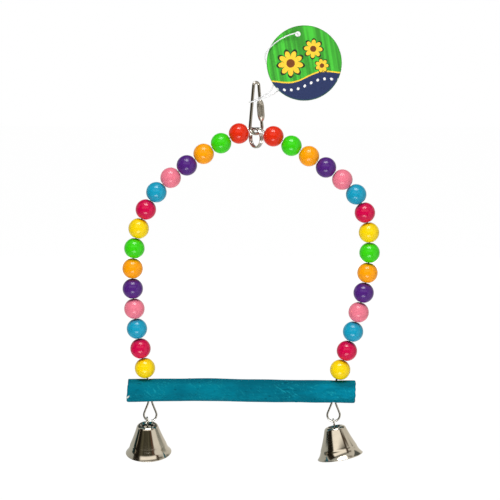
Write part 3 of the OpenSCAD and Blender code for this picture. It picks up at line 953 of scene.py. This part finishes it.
# How far out from the axis the painted shade in the bell's dished crown reaches, and how fast it fades.
CROWN_SHADE_R, CROWN_SHADE_FADE = 3.4, 3
HOOK_DOWN_SHARE, HOOK_R_WIRES, HOOK_TURN = 0.15, 1.1, 205
BALL_DOWN_SHARE = 0.69
CLAPPER_D = 5.2
CLAPPER_EYE_R = 1.4
CLAPPER_WIRE_D = 0.9


def bell_heights():
    """Heights in millimetres from the place that a bell swings on, and the radius of its hanger's hook."""
    wire_r = sizes().wire_d / MM / 2
    hanger_r = sizes().hanger_wire_d / MM / 2
    _, depth = drop(HANGER_R, HANGER_THROAT_R, HANGER_FLARE, HANGER_LEG)
    throat = wire_r + SEAT_GAP + hanger_r - HANGER_R - depth
    crown = throat - CROWN_GAP
    hook = crown - BELL_H * HOOK_DOWN_SHARE
    hook_r = 2 * HOOK_R_WIRES * hanger_r
    return {
        "throat": throat,
        "crown": crown,
        "top": crown + CROWN_DISH,
        "foot": crown - sizes().bell_wall / MM - hanger_r - SEAT_GAP,
        "hook": hook,
        "hook_r": hook_r,
        "eye": hook - hook_r + hanger_r + SEAT_GAP + CLAPPER_WIRE_D / 2 - CLAPPER_EYE_R,
        "ball": crown + CROWN_DISH - BELL_H * BALL_DOWN_SHARE,
    }


def bell_matrix(side_name):
    back, right = BELL_TURNS[side_name]
    turn = Matrix.Rotation(math.radians(right), 4, "Y") @ Matrix.Rotation(math.radians(back), 4, "X")
    return Matrix.Translation(joint(f"bell_swing_{side_name}")["pos_m"]) @ turn


def widening(start, end, curve, steps):
    """A flank from one [radius, down] to another, whose radius grows by shares of t, its square and its cube."""
    points = []
    for t in (i / steps for i in range(1, steps + 1)):
        grown_share = sum(share * t**power for power, share in enumerate(curve, 1))
        points.append((start[0] + (end[0] - start[0]) * grown_share, start[1] + (end[1] - start[1]) * t))
    return points


def bell_outline():
    """The bell's wall as a closed outline: outside from the crown's hole to the lip, then back inside."""
    wall = sizes().bell_wall / MM
    crown_r, lip_r, half = CROWN_D / 2, BELL_D / 2, wall / 2
    soft = wall * CROWN_SOFT_WALLS
    shoulder = [(crown_r - soft + x, soft + y) for x, y in bend(soft, 0, -math.pi / 2, -math.radians(20), 14)]
    ridge = (lip_r * RIDGE_R_SHARE, BELL_H * RIDGE_DOWN_SHARE)
    flank = widening(shoulder[-1], ridge, FLANK_CURVE, 40)
    flank += widening(ridge, (lip_r, BELL_H - wall * LIP_WALLS), SKIRT_CURVE, 24)
    evened = [sum(r for r, _ in flank[i - 2 : i + 3]) / 5 for i in range(2, len(flank) - 2)]
    radii = [r for r, _ in flank[:2]] + evened + [r for r, _ in flank[-2:]]
    flank = [(r, z) for r, (_, z) in zip(radii, flank)]
    ridged = []
    for r, z in flank:
        away = min(1.0, abs(z - ridge[1] - RIDGE_LOW) / RIDGE_REACH)
        ridged.append((r + wall * RIDGE_WALLS * (0.5 + 0.5 * math.cos(math.pi * away)), z))
    lip = [(lip_r - half + x, z) for x, z in bend(half, BELL_H - half, math.radians(10), math.radians(170), 8)]
    plain = shoulder + flank
    inside = []
    for i in range(1, len(plain)):
        before, after = plain[i - 1], plain[min(i + 1, len(plain) - 1)]
        way = Vector((after[0] - before[0], after[1] - before[1])).normalized()
        inside.append((plain[i][0] - wall * way[1], plain[i][1] + wall * way[0]))
    hole, dish, floor = CROWN_HOLE_D / 2, crown_r - soft, CROWN_DISH + wall
    mouth = [
        (hole + MOUTH_SOFT, floor), (hole, floor - MOUTH_SOFT),
        (hole, CROWN_DISH + MOUTH_SOFT), (hole + MOUTH_SOFT, CROWN_DISH),
    ]  # fmt: skip
    slope = [(dish * out, CROWN_DISH * down) for out, down in DISH_SHAPE]
    under = [(r, down + wall) for r, down in slope[::-1]]
    return [(r, -z) for r, z in mouth + slope + shoulder + ridged + lip + inside[::-1] + under]


def hanger_line():
    """A bell's hanger from the end of its hook up round its eye and down to its foot, in millimetres."""
    heights = bell_heights()
    crown, hook, hook_r, foot = (heights[key] for key in ("crown", "hook", "hook_r", "foot"))
    loop, _ = drop(HANGER_R, HANGER_THROAT_R, HANGER_FLARE, HANGER_LEG, 6, 20)
    line = [(HANGER_LEG - hook_r + y, z) for y, z in bend(hook_r, hook, -math.radians(HOOK_TURN), 0, 24)[:-1]]
    line += [(HANGER_LEG, hook)] + straight((HANGER_LEG, hook), (HANGER_LEG, crown), 6)
    line += [(y, heights["throat"] + down) for y, down in loop] + [(-HANGER_LEG, crown)]
    foot_r = FOOT_R_WIRES * sizes().hanger_wire_d / MM
    line += [(y - HANGER_LEG - foot_r, z) for y, z in bend(foot_r, foot + foot_r, 0, -math.pi / 2, 8)]
    return [(0, y, z) for y, z in line + [(-HANGER_LEG - FOOT_LEN, foot)]]


# The route of the tag's strand, in millimetres, from the lock round the clip's leg and through the tag's hole.
STRAND_ROUTE = (
    (18, -2.5, 6.3), (18, -2.5, 4.6), (17.2, -2.5, 2), (15.4, -2.6, -1.2), (12.6, -2.8, -4), (8.4, -3.2, -6.4),
    (4, -3.3, -8.3), (0.4, -3.3, -9.5), (-2.3, -3.1, -10.2), (-3.5, -2.6, -10.5), (-4, -1.4, -10.6),
    (-3.5, -0.2, -10.4), (-2, 0.1, -10), (0.3, -1.1, -8.9), (3.9, -1.9, -7), (7.6, -2.4, -4.6), (9.8, -2.7, -1),
    (9.3, -3, 4), (7.4, -3.1, 9), (5.7, -3.2, 13), (5.2, -4, 16), (6, -4.8, 18.7), (9, -4.9, 22.1),
    (13, -4.9, 25.3), (17.4, -5.1, 27.7), (21, -5.7, 29), (23, -5.6, 29.3), (24, -4.4, 28.9), (24.3, -3, 28),
    (24.2, -2.4, 26.2), (23, -2.5, 21), (20.6, -2.5, 16), (18.6, -2.5, 12.8), (18, -2.5, 11), (18, -2.5, 9.7),
)  # fmt: skip
STRAND_PULL = 1 / 6


def smooth_line(route, steps):
    """A smooth line through all the points of a route."""
    points = [Vector(p) for p in route]
    line = []
    for i in range(len(points) - 1):
        a, b = points[i], points[i + 1]
        before = (b - points[max(i - 1, 0)]) * STRAND_PULL
        after = (points[min(i + 2, len(points) - 1)] - a) * STRAND_PULL
        line += [bezier(a, a + before, b - after, b, k / steps) for k in range(steps)]
    return line + [points[-1]]


# ---------------------------------------------------------------- operators


class SwingOperator:
    """What every operator of the swing shares."""

    bl_options = {"REGISTER", "UNDO"}


# The camera looks at a place in millimetres, from so many metres away, lifted and rolled in degrees, and sees so many
# millimetres across there.
VIEW_MIDDLE = (-3.4, 0, -96.88)
VIEW_DISTANCE = 1.3
VIEW_LIFT, VIEW_ROLL = 5.4, 0.1
VIEW_WIDTH = 292.5
SENSOR_WIDTH = 36

# Each lamp's azimuth and height in degrees, distance, width and depth in metres, power, and whether gloss shows it.
LAMPS = (
    ("upper_softbox", -3, 65, 1.25, 0.85, 0.56, 13, True),
    ("lower_softbox", -3, -35, 1.25, 0.85, 0.5, 7.4, True),
    ("back_fill", 180, -5, 1.6, 0.5, 0.5, 11, False),
)
FLOOR_DROP = 0.035
FLOOR_HALF = 6


class SWING_OT_stage(SwingOperator, bpy.types.Operator):
    """Sets up the camera, the lamps, the pale floor and the studio round the swing"""

    bl_idname = "swing.stage"
    bl_label = "Stage"

    def execute(self, context):
        scene = context.scene
        target = Vector(VIEW_MIDDLE) * MM
        view = bpy.data.cameras.new("camera")
        camera = new_object("camera", view)
        lift = math.radians(VIEW_LIFT)
        back = Vector((0, -math.cos(lift), math.sin(lift)))
        camera.location = target + back * VIEW_DISTANCE
        camera.rotation_euler = (-back).to_track_quat("-Z", "Y").to_euler()
        camera.rotation_euler.rotate_axis("Z", math.radians(VIEW_ROLL))
        view.sensor_width = SENSOR_WIDTH
        view.lens = SENSOR_WIDTH * VIEW_DISTANCE / (VIEW_WIDTH * MM)
        scene.camera = camera
        for name, azimuth, height, reach, width, depth, power, in_gloss in LAMPS:
            lamp = bpy.data.lights.new(name, "AREA")
            lamp.shape, lamp.size, lamp.size_y, lamp.energy = "ELLIPSE", width, depth, power
            box = new_object(name, lamp)
            box.visible_camera = False
            box.visible_glossy = in_gloss
            a, e = math.radians(azimuth), math.radians(height)
            away = Vector((math.sin(a) * math.cos(e), -math.cos(a) * math.cos(e), math.sin(e)))
            box.location = target + away * reach
            box.rotation_euler = away.to_track_quat("Z", "Y").to_euler()
        self.floor()
        self.studio(scene)
        scene.view_settings.view_transform = "Standard"
        return {"FINISHED"}

    def floor(self):
        mesh = bpy.data.meshes.new("floor")
        z = CAD_BOX[0][2] - FLOOR_DROP
        corners = ((-1, -1), (1, -1), (1, 1), (-1, 1))
        mesh.from_pydata([(x * FLOOR_HALF, y * FLOOR_HALF, z) for x, y in corners], [], [(0, 1, 2, 3)])
        floor = new_object("floor", mesh)
        floor.visible_glossy = floor.visible_shadow = floor.visible_transmission = False
        material = bpy.data.materials.new("pale_floor")
        material.use_nodes = True
        tree = material.node_tree
        tree.nodes.clear()
        plain = first(tree, "ShaderNodeBsdfDiffuse", {"Color": (0.85, 0.85, 0.85, 1)})
        glow = first(tree, "ShaderNodeEmission", {"Color": (1, 1, 1, 1), "Strength": 1.05})
        share = times(tree, put(tree, "ShaderNodeLightPath").outputs["Is Camera Ray"], 0.93)
        mixed = first(tree, "ShaderNodeMixShader", {0: share, 1: plain, 2: glow})
        put(tree, "ShaderNodeOutputMaterial", {"Surface": mixed})
        mesh.materials.append(material)

    def studio(self, scene):
        """White for the camera. Metal sees pale walls all round and a darker room in front of the swing."""
        world = bpy.data.worlds.new("studio")
        scene.world = world
        world.use_nodes = True
        tree = world.node_tree
        tree.nodes.clear()
        way = put(tree, "ShaderNodeTexCoord").outputs["Generated"]
        x, y, z = split_xyz(tree, way)
        azimuth = math_node(tree, "ARCTAN2", x, times(tree, y, -1.0))
        height = math_node(tree, "ARCSINE", z)

        def patch(left, right, low, high, soft=0.08):
            """Where a patch of the studio is seen, between angles in radians. Left and right may be nodes."""
            from_left = spread(tree, minus(tree, azimuth, left), -soft, soft)
            from_right = below(tree, minus(tree, azimuth, right), -soft, soft)
            from_low = spread(tree, height, low - soft, low + soft)
            from_high = below(tree, height, high - soft, high + soft)
            return times(tree, times(tree, from_left, from_right), times(tree, from_low, from_high))

        walls = painted(
            tree,
            (0.56, 0.57, 0.53),
            (spread(tree, azimuth, -1.2, 1.6), (0.78, 0.75, 0.68)),
            (spread(tree, height, 1.1, 1.35), (0.95, 0.93, 0.9)),
            (patch(0.66, 1.45, -0.6, 0.3), (1.0, 0.96, 0.88)),
            (patch(1.5, 2.1, -0.2, 0.24, 0.15), (0.36, 0.37, 0.33)),
            (patch(-3.3, -1.8, 0.5, 1.25), (0.05, 0.065, 0.065)),
            (patch(1.8, 3.3, 0.5, 1.25), (0.12, 0.13, 0.12)),
        )
        room = painted(
            tree,
            (0.022, 0.018, 0.012),
            (spread(tree, azimuth, -1.05, -0.7), (0.12, 0.11, 0.07)),
            (spread(tree, azimuth, 0.3, 0.55), (0.2, 0.1, 0.06)),
            (spread(tree, height, 0.3, 0.5), (0.05, 0.04, 0.026)),
            (below(tree, azimuth, -1.75, -1.5), (0.015, 0.06, 0.065)),
        )
        stripes = noise_value(tree, stretched(tree, way, (4, 4, 0.6)), 1.0, 3.0)
        room = painted(tree, room, (0.5, (0, 0, 0)), (spread(tree, stripes, 0.4, 0.68), room))
        left_edge = spread(tree, height, 0.05, 0.25, -1.88, -1.48)
        right_edge = spread(tree, height, 0.15, 0.3, 0.66, 0.98)
        tone = painted(
            tree,
            walls,
            (patch(left_edge, right_edge, -0.55, 0.8), room),
            (patch(0.6, 1.35, 0.54, 0.68), (0.1, 0.07, 0.045)),
            (patch(-1.2, 1.6, 1.08, 1.2), (0.16, 0.13, 0.1)),
            (patch(-1.46, -1.38, -0.3, 0.1, 0.03), (0.4, 0.36, 0.28)),
            (patch(-0.78, 0.72, 0.25, 0.66, 0.1), (1.4, 1.33, 1.21)),
        )
        rays = put(tree, "ShaderNodeLightPath").outputs
        seen = math_node(tree, "ADD", rays["Is Camera Ray"], rays["Is Transmission Ray"], True)
        white = painted(tree, (0.3, 0.3, 0.3), (rays["Is Glossy Ray"], tone), (seen, (1, 1, 1)))
        back = first(tree, "ShaderNodeBackground", {"Color": white, "Strength": 1.0})
        put(tree, "ShaderNodeOutputWorld", {"Surface": back})


# The lower half of the strand's lock as [radius, z], in millimetres.
LOCK_OUTLINE = ((0, 0), (0.55, 0), (0.72, 0.12), (0.8, 0.3), (0.8, 0.85), (1.0, 0.98), (1.1, 1.15))


class SWING_OT_strand(SwingOperator, bpy.types.Operator):
    """Makes the clear nylon loop that holds the tag, and its moulded lock"""

    bl_idname = "swing.strand"
    bl_label = "Strand and lock"

    def execute(self, context):
        line = smooth_line(STRAND_ROUTE, 8)
        strand = wire("strand", line, sizes().strand_d, "clear_nylon", 16)
        lo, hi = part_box("strand_lock")
        foot = Matrix.Translation(((lo[0] + hi[0]) / 2, (lo[1] + hi[1]) / 2, lo[2]))
        height = (hi[2] - lo[2]) / MM
        outline = [*LOCK_OUTLINE, *((r, height - z) for r, z in LOCK_OUTLINE[::-1])]
        lock = dress(new_object("lock", turned_mesh("lock", outline, 40, False, matrix=foot)), "clear_nylon")
        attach(strand, "tag")
        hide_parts("tag_strand")
        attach(lock, "tag")
        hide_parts("strand_lock")
        return {"FINISHED"}


# The tag's punched hole from the card's middle, in millimetres, and the card's layers: where each lies as a share of
# the thickness, and how far its edges draw in.
TAG_HOLE, TAG_HOLE_R = Vector((-3.8, 0, 16.7)), 1.5
TAG_LAYERS = ((-0.5, 0.08), (-0.38, 0.0), (0.38, 0.0), (0.5, 0.08))
TAG_STEPS, TAG_HOLE_STEPS = 160, 48


class SWING_OT_tag(SwingOperator, bpy.types.Operator):
    """Makes the round printed card with its punched hole"""

    bl_idname = "swing.tag"
    bl_label = "Hang tag"

    def execute(self, context):
        lo, hi = (Vector(c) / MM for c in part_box("hang_tag"))
        middle = (lo + hi) / 2
        radius, thick = (hi[0] - lo[0]) / 2, hi[1] - lo[1]
        shape = bmesh.new()

        def ring(centre, y, reach, steps):
            """A ring of corners on one layer of the card."""
            flat = ((reach * math.cos(a), reach * math.sin(a)) for a in around(steps))
            return [shape.verts.new((centre[0] + x, middle[1] + y * thick, centre[2] + z)) for x, z in flat]

        layers = [
            (
                ring(middle, y, radius - inset, TAG_STEPS),
                ring(middle + TAG_HOLE, y, TAG_HOLE_R + inset, TAG_HOLE_STEPS),
            )
            for y, inset in TAG_LAYERS
        ]
        for layer, after in zip(layers, layers[1:]):
            for a, b in zip(layer, after):
                bridge(shape, a, b)
        for slot, layer in ((1, layers[0]), (0, layers[-1])):
            edges = [shape.edges.get((r[k], r[(k + 1) % len(r)])) for r in layer for k in range(len(r))]
            for face in bmesh.ops.triangle_fill(shape, use_beauty=True, edges=edges)["geom"]:
                if isinstance(face, bmesh.types.BMFace):
                    face.material_index = slot
        bmesh.ops.recalc_face_normals(shape, faces=shape.faces)
        bmesh.ops.scale(shape, vec=(MM, MM, MM), verts=shape.verts)
        tag = new_object("tag", filled(bpy.data.meshes.new("tag"), shape, False))
        tag.data.materials.append(finish_for("bare_card"))
        tag.data.materials.append(finish_for("printed_card"))
        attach(tag, "tag")
        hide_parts("hang_tag")
        return {"FINISHED"}


# The clip's threaded ends and its nut, in millimetres.
THREAD_LEN, THREAD_TURNS, THREAD_RIDGE, THREAD_SUNK = 1.6, 5.0, 0.1, 0.06
NUT_R, NUT_TAPER, NUT_GROOVE = 2.05, NUT_H * 0.24, 0.14
RIB_WIDTH, RIB_SHORT = 0.3, 0.4


class SWING_OT_clip(SwingOperator, bpy.types.Operator):
    """Makes the pear-shaped quick link with its threaded ends, and its nut"""

    bl_idname = "swing.clip"
    bl_label = "Clip and nut"

    def execute(self, context):
        radius = sizes().clip_wire_d / MM / 2
        pieces = [wire("clip_wire", clip_line(), sizes().clip_wire_d, "clip_steel", 32)]
        thread_sizes = {
            "Radius": (radius - THREAD_SUNK) * MM,
            "Turns": THREAD_TURNS,
            "Length": THREAD_LEN * MM,
            "Ridge": THREAD_RIDGE * MM,
            "Finish": finish_for("clip_steel"),
        }
        for share, sunk in zip(GAP_SHARES, (THREAD_LEN, 0)):
            thread = grown(line_object([(0, 0, 0), (0, 0, 0.01)]), "thread", "Screw thread", thread_sizes)
            thread.data.transform(leg_matrix(NUT_SEAT + NUT_H * share - sunk))
            tidy_mesh(thread.data)
            pieces.append(thread)
        clip = joined("clip", pieces)
        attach(clip, "clip")
        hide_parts("clip_body")
        rib_sizes = {
            "Ribs": sizes().nut_ribs,
            "Radius": (NUT_R - NUT_GROOVE) * MM,
            "Rib width": RIB_WIDTH * MM,
            "Rib length": (NUT_H - 2 * NUT_TAPER - RIB_SHORT) * MM,
            "Middle": NUT_H / 2 * MM,
            "Finish": finish_for("nut_steel"),
        }
        barrel = new_object("barrel", turned_mesh("barrel", self.nut_outline(radius), 64))
        nut = grown(barrel, "nut", "Ribs round a barrel", rib_sizes)
        nut.data.transform(leg_matrix(NUT_SEAT))
        nut.data.set_sharp_from_angle(angle=math.radians(40))
        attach(nut, "nut")
        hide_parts("clip_nut")
        return {"FINISHED"}

    def nut_outline(self, wire_radius):
        """The nut's barrel round its bore: narrow tips, round tapers and a groove that the ribs stand in."""
        bore, tip = wire_radius + 0.05, wire_radius + 0.3
        outline = [(bore, 0.15), (bore + 0.12, 0), (tip - 0.05, 0), (tip, 0.1)]
        for t in (0.15, 0.3, 0.45, 0.6, 0.75, 0.9, 1.0):
            outline.append((tip + (NUT_R - tip) * math.sin(math.radians(90 * t)), NUT_TAPER * t))
        outline += [(NUT_R - NUT_GROOVE, NUT_TAPER + up) for up in (0.1, 0.3)]
        return outline + [(r, NUT_H - z) for r, z in outline[::-1]]


class SWING_OT_arch(SwingOperator, bpy.types.Operator):
    """Makes the one bright wire of the arch, with its eye and its two loops"""

    bl_idname = "swing.arch"
    bl_label = "Arch wire"

    def execute(self, context):
        arch = wire("arch", arch_line(), sizes().wire_d, "arch_steel")
        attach(arch, "arch")
        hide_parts("arch_wire")
        return {"FINISHED"}


# A bead's soft mouth, in millimetres and degrees, and how far from the bore its shade reaches.
MOUTH_WIDTH, MOUTH_DEPTH = 0.66, 0.69
MOUTH_ANGLES = (0, 20, 40, 60, 78)
MOUTH_SHADE = 1.6


class SWING_OT_beads(SwingOperator, bpy.types.Operator):
    """Strings the thirty glossy beads on the wire"""

    bl_idname = "swing.beads"
    bl_label = "Beads"

    def execute(self, context):
        outline, marks = self.outline()
        for side_name, side in SIDES:
            for i, (out, z, below_level) in enumerate(bead_places(side_name, side)):
                place = Matrix.Translation((side * out * MM, 0, z * MM))
                lie = Matrix.Rotation(side * math.radians(90 + below_level), 4, "Y")
                name = f"bead_{side_name}_{i + 1:02d}"
                tone = "bead_" + COLOUR_NAMES[COLOUR_ORDER[i]]
                mesh = turned_mesh(name, outline, 64, True, marks, place @ lie)
                piece = dress(new_object(f"{name}_moulded", mesh), tone)
                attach(piece, name)
                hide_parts(name)
        return {"FINISHED"}

    def outline(self):
        """A bead's outline round its bore, with a soft mouth at each end, and how near each point is to a mouth."""
        radius, bore = sizes().bead_d / MM / 2, sizes().bead_bore_d / MM / 2
        reach = math.asin((bore + MOUTH_WIDTH) / radius)
        points = bend(radius, 0, math.pi / 2 - reach, reach - math.pi / 2, 40)
        top = points[0][1] - MOUTH_DEPTH
        mouth = []
        for a in map(math.radians, MOUTH_ANGLES):
            mouth.append((bore + MOUTH_WIDTH * (1 - math.cos(a)), top + MOUTH_DEPTH * math.sin(a)))
        outline = mouth + points + [(r, -z) for r, z in mouth[::-1]]
        return outline, [clamped(1 - (r - bore) / MOUTH_SHADE) for r, _ in outline]


# Shape of the rough perch, in millimetres. A noise is its scale along and across the stick and its place.
PERCH_SIDES, PERCH_ROWS = 128, 330
PERCH_BOW, PERCH_BOW_RATE = 0.45, 1.6
PERCH_FALL, PERCH_LIFT, PERCH_SLOPE = 0.5, 0.15, 0.1
PERCH_STOUT, PERCH_STOUT_LEFT = 0.1, 0.12
RIDGE_NOISE, RIDGE_SHARE = (0.03, 0.9, (0, 0, 0)), 0.7
LUMP_NOISE = (0.06, 0.16, (9, 3, 1))
NICK_NOISE = (0.35, 1.2, (4, 8, 2))
NICK_FROM, NICK_DEPTH = 0.42, 1.6
END_ROUND, END_DRAW, END_ROUGH = 0.5, 0.45, 0.12
SLANT_LEFT, SLANT_RIGHT, RAGGED = 0.45, 0.2, 0.25
END_RINGS = (0.8, 0.55, 0.3)
CHIP_IN, CHIP_DOWN, CHIP_SHAPE = 0.7, 3.0, (0.4, 1.3)
DRILL_R, DRILL_REACH = 2, 8
SLIVERS = {"Density": 26000.0, "Length": 2.6 * MM, "Thickness": 0.16 * MM, "Seed": 11}


def stick_noise(place, along, across, where):
    return noise.noise(Vector((place[0] * along, place[1] * across, place[2] * across)) + Vector(where))


class SWING_OT_perch(SwingOperator, bpy.types.Operator):
    """Makes the rough dyed wooden perch with its two cross holes"""

    bl_idname = "swing.perch"
    bl_label = "Perch"

    def execute(self, context):
        lo, hi = (Vector(c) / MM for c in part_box("perch"))
        shape = bmesh.new()
        rows = self.side(shape, lo, hi)
        for row in (rows[0], rows[-1]):
            self.end(shape, row)
        bmesh.ops.recalc_face_normals(shape, faces=shape.faces)
        bmesh.ops.scale(shape, vec=(MM, MM, MM), verts=shape.verts)
        wood = filled(bpy.data.meshes.new("perch_wood"), shape)
        stick = dress(new_object("perch_wood", wood), "dyed_wood")
        for side_name, side in SIDES:
            _, hole = foot_hole(bead_places(side_name, side))
            self.drill(stick, side * hole, (hi[2] + lo[2]) / 2)
        perch = grown(stick, "perch_stick", "Raised slivers", {**SLIVERS, "Finish": finish_for("dyed_wood")})
        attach(perch, "arch")
        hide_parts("perch")
        return {"FINISHED"}

    def side(self, shape, lo, hi):
        """The stick's rough side as rows of corners, marked where it is cut, for painted shade in the cuts, and where
        a chip lies bare.
        """
        cut_shade = shape.verts.layers.float.new("cut_shade")
        bare = shape.verts.layers.float.new("bare")
        radius, z = (hi[2] - lo[2]) / 2, (hi[2] + lo[2]) / 2
        rough = sizes().perch_roughness / MM
        rows = []
        for number in range(PERCH_ROWS + 1):
            x = lo[0] + (hi[0] - lo[0]) * number / PERCH_ROWS
            share = number / PERCH_ROWS
            bow = PERCH_BOW * math.sin(math.pi * min(1.0, share * PERCH_BOW_RATE)) ** 2
            rise = bow - PERCH_FALL * max(0.0, share - 0.5) * 2 + (PERCH_LIFT + PERCH_SLOPE * (1 - share))
            worn = max(0.0, 1 - min(x - lo[0], hi[0] - x) / END_ROUND)
            row = []
            for a in around(PERCH_SIDES):
                n = Vector((x, math.cos(a) * radius, math.sin(a) * radius))
                cut = max(0.0, stick_noise(n, *NICK_NOISE) - NICK_FROM) * NICK_DEPTH
                lumps = RIDGE_SHARE * stick_noise(n, *RIDGE_NOISE) + stick_noise(n, *LUMP_NOISE)
                r = radius + PERCH_STOUT + PERCH_STOUT_LEFT * (1 - share) + rough * lumps - rough * cut
                r -= END_DRAW * worn**2
                slant = 0.0
                if number in (0, 1):
                    slant = SLANT_LEFT * math.sin(a) + RAGGED * (1 + noise.noise(n * 0.5))
                elif number in (PERCH_ROWS - 1, PERCH_ROWS):
                    slant = SLANT_RIGHT * math.sin(a) - RAGGED * (1 + noise.noise(n * 0.5))
                vert = shape.verts.new((x + slant, math.cos(a) * r, z + rise + math.sin(a) * r))
                # Painted shade in the cuts: the further a cut goes in, the darker.
                vert[cut_shade] = clamped(cut * 1.4 - 0.1)
                if math.cos(a) < 0:
                    east, up = x - lo[0] - CHIP_IN, math.sin(a) * radius + CHIP_DOWN
                    from_chip = math.hypot((east + up) * CHIP_SHAPE[0], (east - up) * CHIP_SHAPE[1])
                    vert[bare] = clamped(1.8 - 2 * from_chip)
                row.append(vert)
            rows.append(row)
        for a, b in zip(rows, rows[1:]):
            bridge(shape, a, b)
        return rows

    def end(self, shape, row):
        """Closes an end of the stick with rough rings round a middle."""
        x, z = (sum(v.co[k] for v in row) / PERCH_SIDES for k in (0, 2))
        outer = row
        for share in END_RINGS:
            ring = []
            for vert in row:
                v = vert.co
                p = Vector((x + (v[0] - x) * share, v[1] * share, z + (v[2] - z) * share))
                p[0] += END_ROUGH * noise.noise(p * 1.1)
                ring.append(shape.verts.new(p))
            bridge(shape, outer, ring)
            outer = ring
        middle = shape.verts.new((x, 0, z))
        for k in range(PERCH_SIDES):
            shape.faces.new((outer[k], outer[(k + 1) % PERCH_SIDES], middle))

    def drill(self, stick, x, z):
        """Cuts an upright hole through the stick."""
        outline = [(0, -DRILL_REACH), (DRILL_R, -DRILL_REACH), (DRILL_R, DRILL_REACH), (0, DRILL_REACH)]
        place = Matrix.Translation((x * MM, 0, z * MM))
        drill = new_object("drill", turned_mesh("drill", outline, 40, False, matrix=place))
        cut = stick.modifiers.new("hole", "BOOLEAN")
        cut.operation, cut.solver, cut.object = "DIFFERENCE", "EXACT", drill
        stick.data = applied(stick, cut)
        bpy.data.objects.remove(drill)


class SWING_OT_bells(SwingOperator, bpy.types.Operator):
    """Makes the two nickel-plated bells and their wire hangers"""

    bl_idname = "swing.bells"
    bl_label = "Bells and hangers"

    def execute(self, context):
        top = bell_heights()["top"]
        outline = [(r, z + top) for r, z in bell_outline()]
        # Painted shade in the dished crown round the hole, fading out away from the axis.
        marks = [clamped((CROWN_SHADE_R - r) * CROWN_SHADE_FADE) for r, _ in outline]
        for side_name, _ in SIDES:
            place = bell_matrix(side_name)
            body = f"bell_{side_name}"
            mesh = turned_mesh(body, outline, 160, True, marks, place, "crown_shade")
            shell = dress(new_object(f"{body}_shell", mesh), "bell_nickel")
            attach(shell, body)
            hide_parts(body)
            hanger = wire(f"hanger_{side_name}_wire", hanger_line(), sizes().hanger_wire_d, "hanger_steel")
            hanger.data.transform(place)
            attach(hanger, body)
            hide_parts(f"hanger_{side_name}")
        return {"FINISHED"}


class SWING_OT_clappers(SwingOperator, bpy.types.Operator):
    """Makes the two clappers, each a ball on a wire with an eye"""

    bl_idname = "swing.clappers"
    bl_label = "Clappers"

    def execute(self, context):
        heights = bell_heights()
        hang = Matrix.Translation((0, (HANGER_LEG - heights["hook_r"]) * MM, heights["eye"] * MM))
        ball_z = heights["ball"] - heights["eye"]
        eye = [(x, 0, z) for x, z in bend(CLAPPER_EYE_R, 0, math.radians(-88), math.radians(266), 40)]
        stem = [(0, 0, 0.1 - CLAPPER_EYE_R), (0, 0, ball_z)]
        outline = bend(CLAPPER_D / 2, ball_z, math.pi / 2, -math.pi / 2, 24)
        for side_name, _ in SIDES:
            straight_down = Matrix.Rotation(math.radians(-BELL_TURNS[side_name][1]), 4, "Y")
            wires = (("clapper_eye", eye), ("clapper_stem", stem))
            pieces = [wire(name, line, CLAPPER_WIRE_D * MM, "clapper_steel", 20) for name, line in wires]
            pieces.append(dress(new_object("clapper_ball", turned_mesh("ball", outline, 40, False)), "clapper_steel"))
            clapper = joined(f"clapper_{side_name}_ball", pieces)
            clapper.data.transform(bell_matrix(side_name) @ hang @ straight_down)
            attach(clapper, f"clapper_{side_name}")
            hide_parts(f"clapper_{side_name}")
        return {"FINISHED"}


class SWING_PT_panel(bpy.types.Panel):
    """Lists the steps that dress the swing"""

    bl_label = "Bird swing"
    bl_idname = "SWING_PT_panel"
    bl_space_type = "VIEW_3D"
    bl_region_type = "UI"
    bl_category = "Bird swing"

    def draw(self, context):
        layout = self.layout
        for operator in OPERATORS:
            layout.operator(operator.bl_idname)
        for group in (context.scene.swing_sizes, context.scene.swing_colours):
            box = layout.box()
            for key in group.__annotations__:
                box.prop(group, key)


OPERATORS = (
    SWING_OT_stage,
    SWING_OT_strand,
    SWING_OT_tag,
    SWING_OT_clip,
    SWING_OT_arch,
    SWING_OT_beads,
    SWING_OT_perch,
    SWING_OT_bells,
    SWING_OT_clappers,
)
CLASSES = (SwingSizes, SwingColours, *OPERATORS, SWING_PT_panel)


def register():
    for item in CLASSES:
        bpy.utils.register_class(item)
    bpy.types.Scene.swing_sizes = PointerProperty(type=SwingSizes)
    bpy.types.Scene.swing_colours = PointerProperty(type=SwingColours)


def unregister():
    del bpy.types.Scene.swing_colours
    del bpy.types.Scene.swing_sizes
    for item in reversed(CLASSES):
        bpy.utils.unregister_class(item)


def main():
    register()
    for operator in OPERATORS:
        group, name = operator.bl_idname.split(".")
        getattr(getattr(bpy.ops, group), name)()


if __name__ == "__main__":
    main()
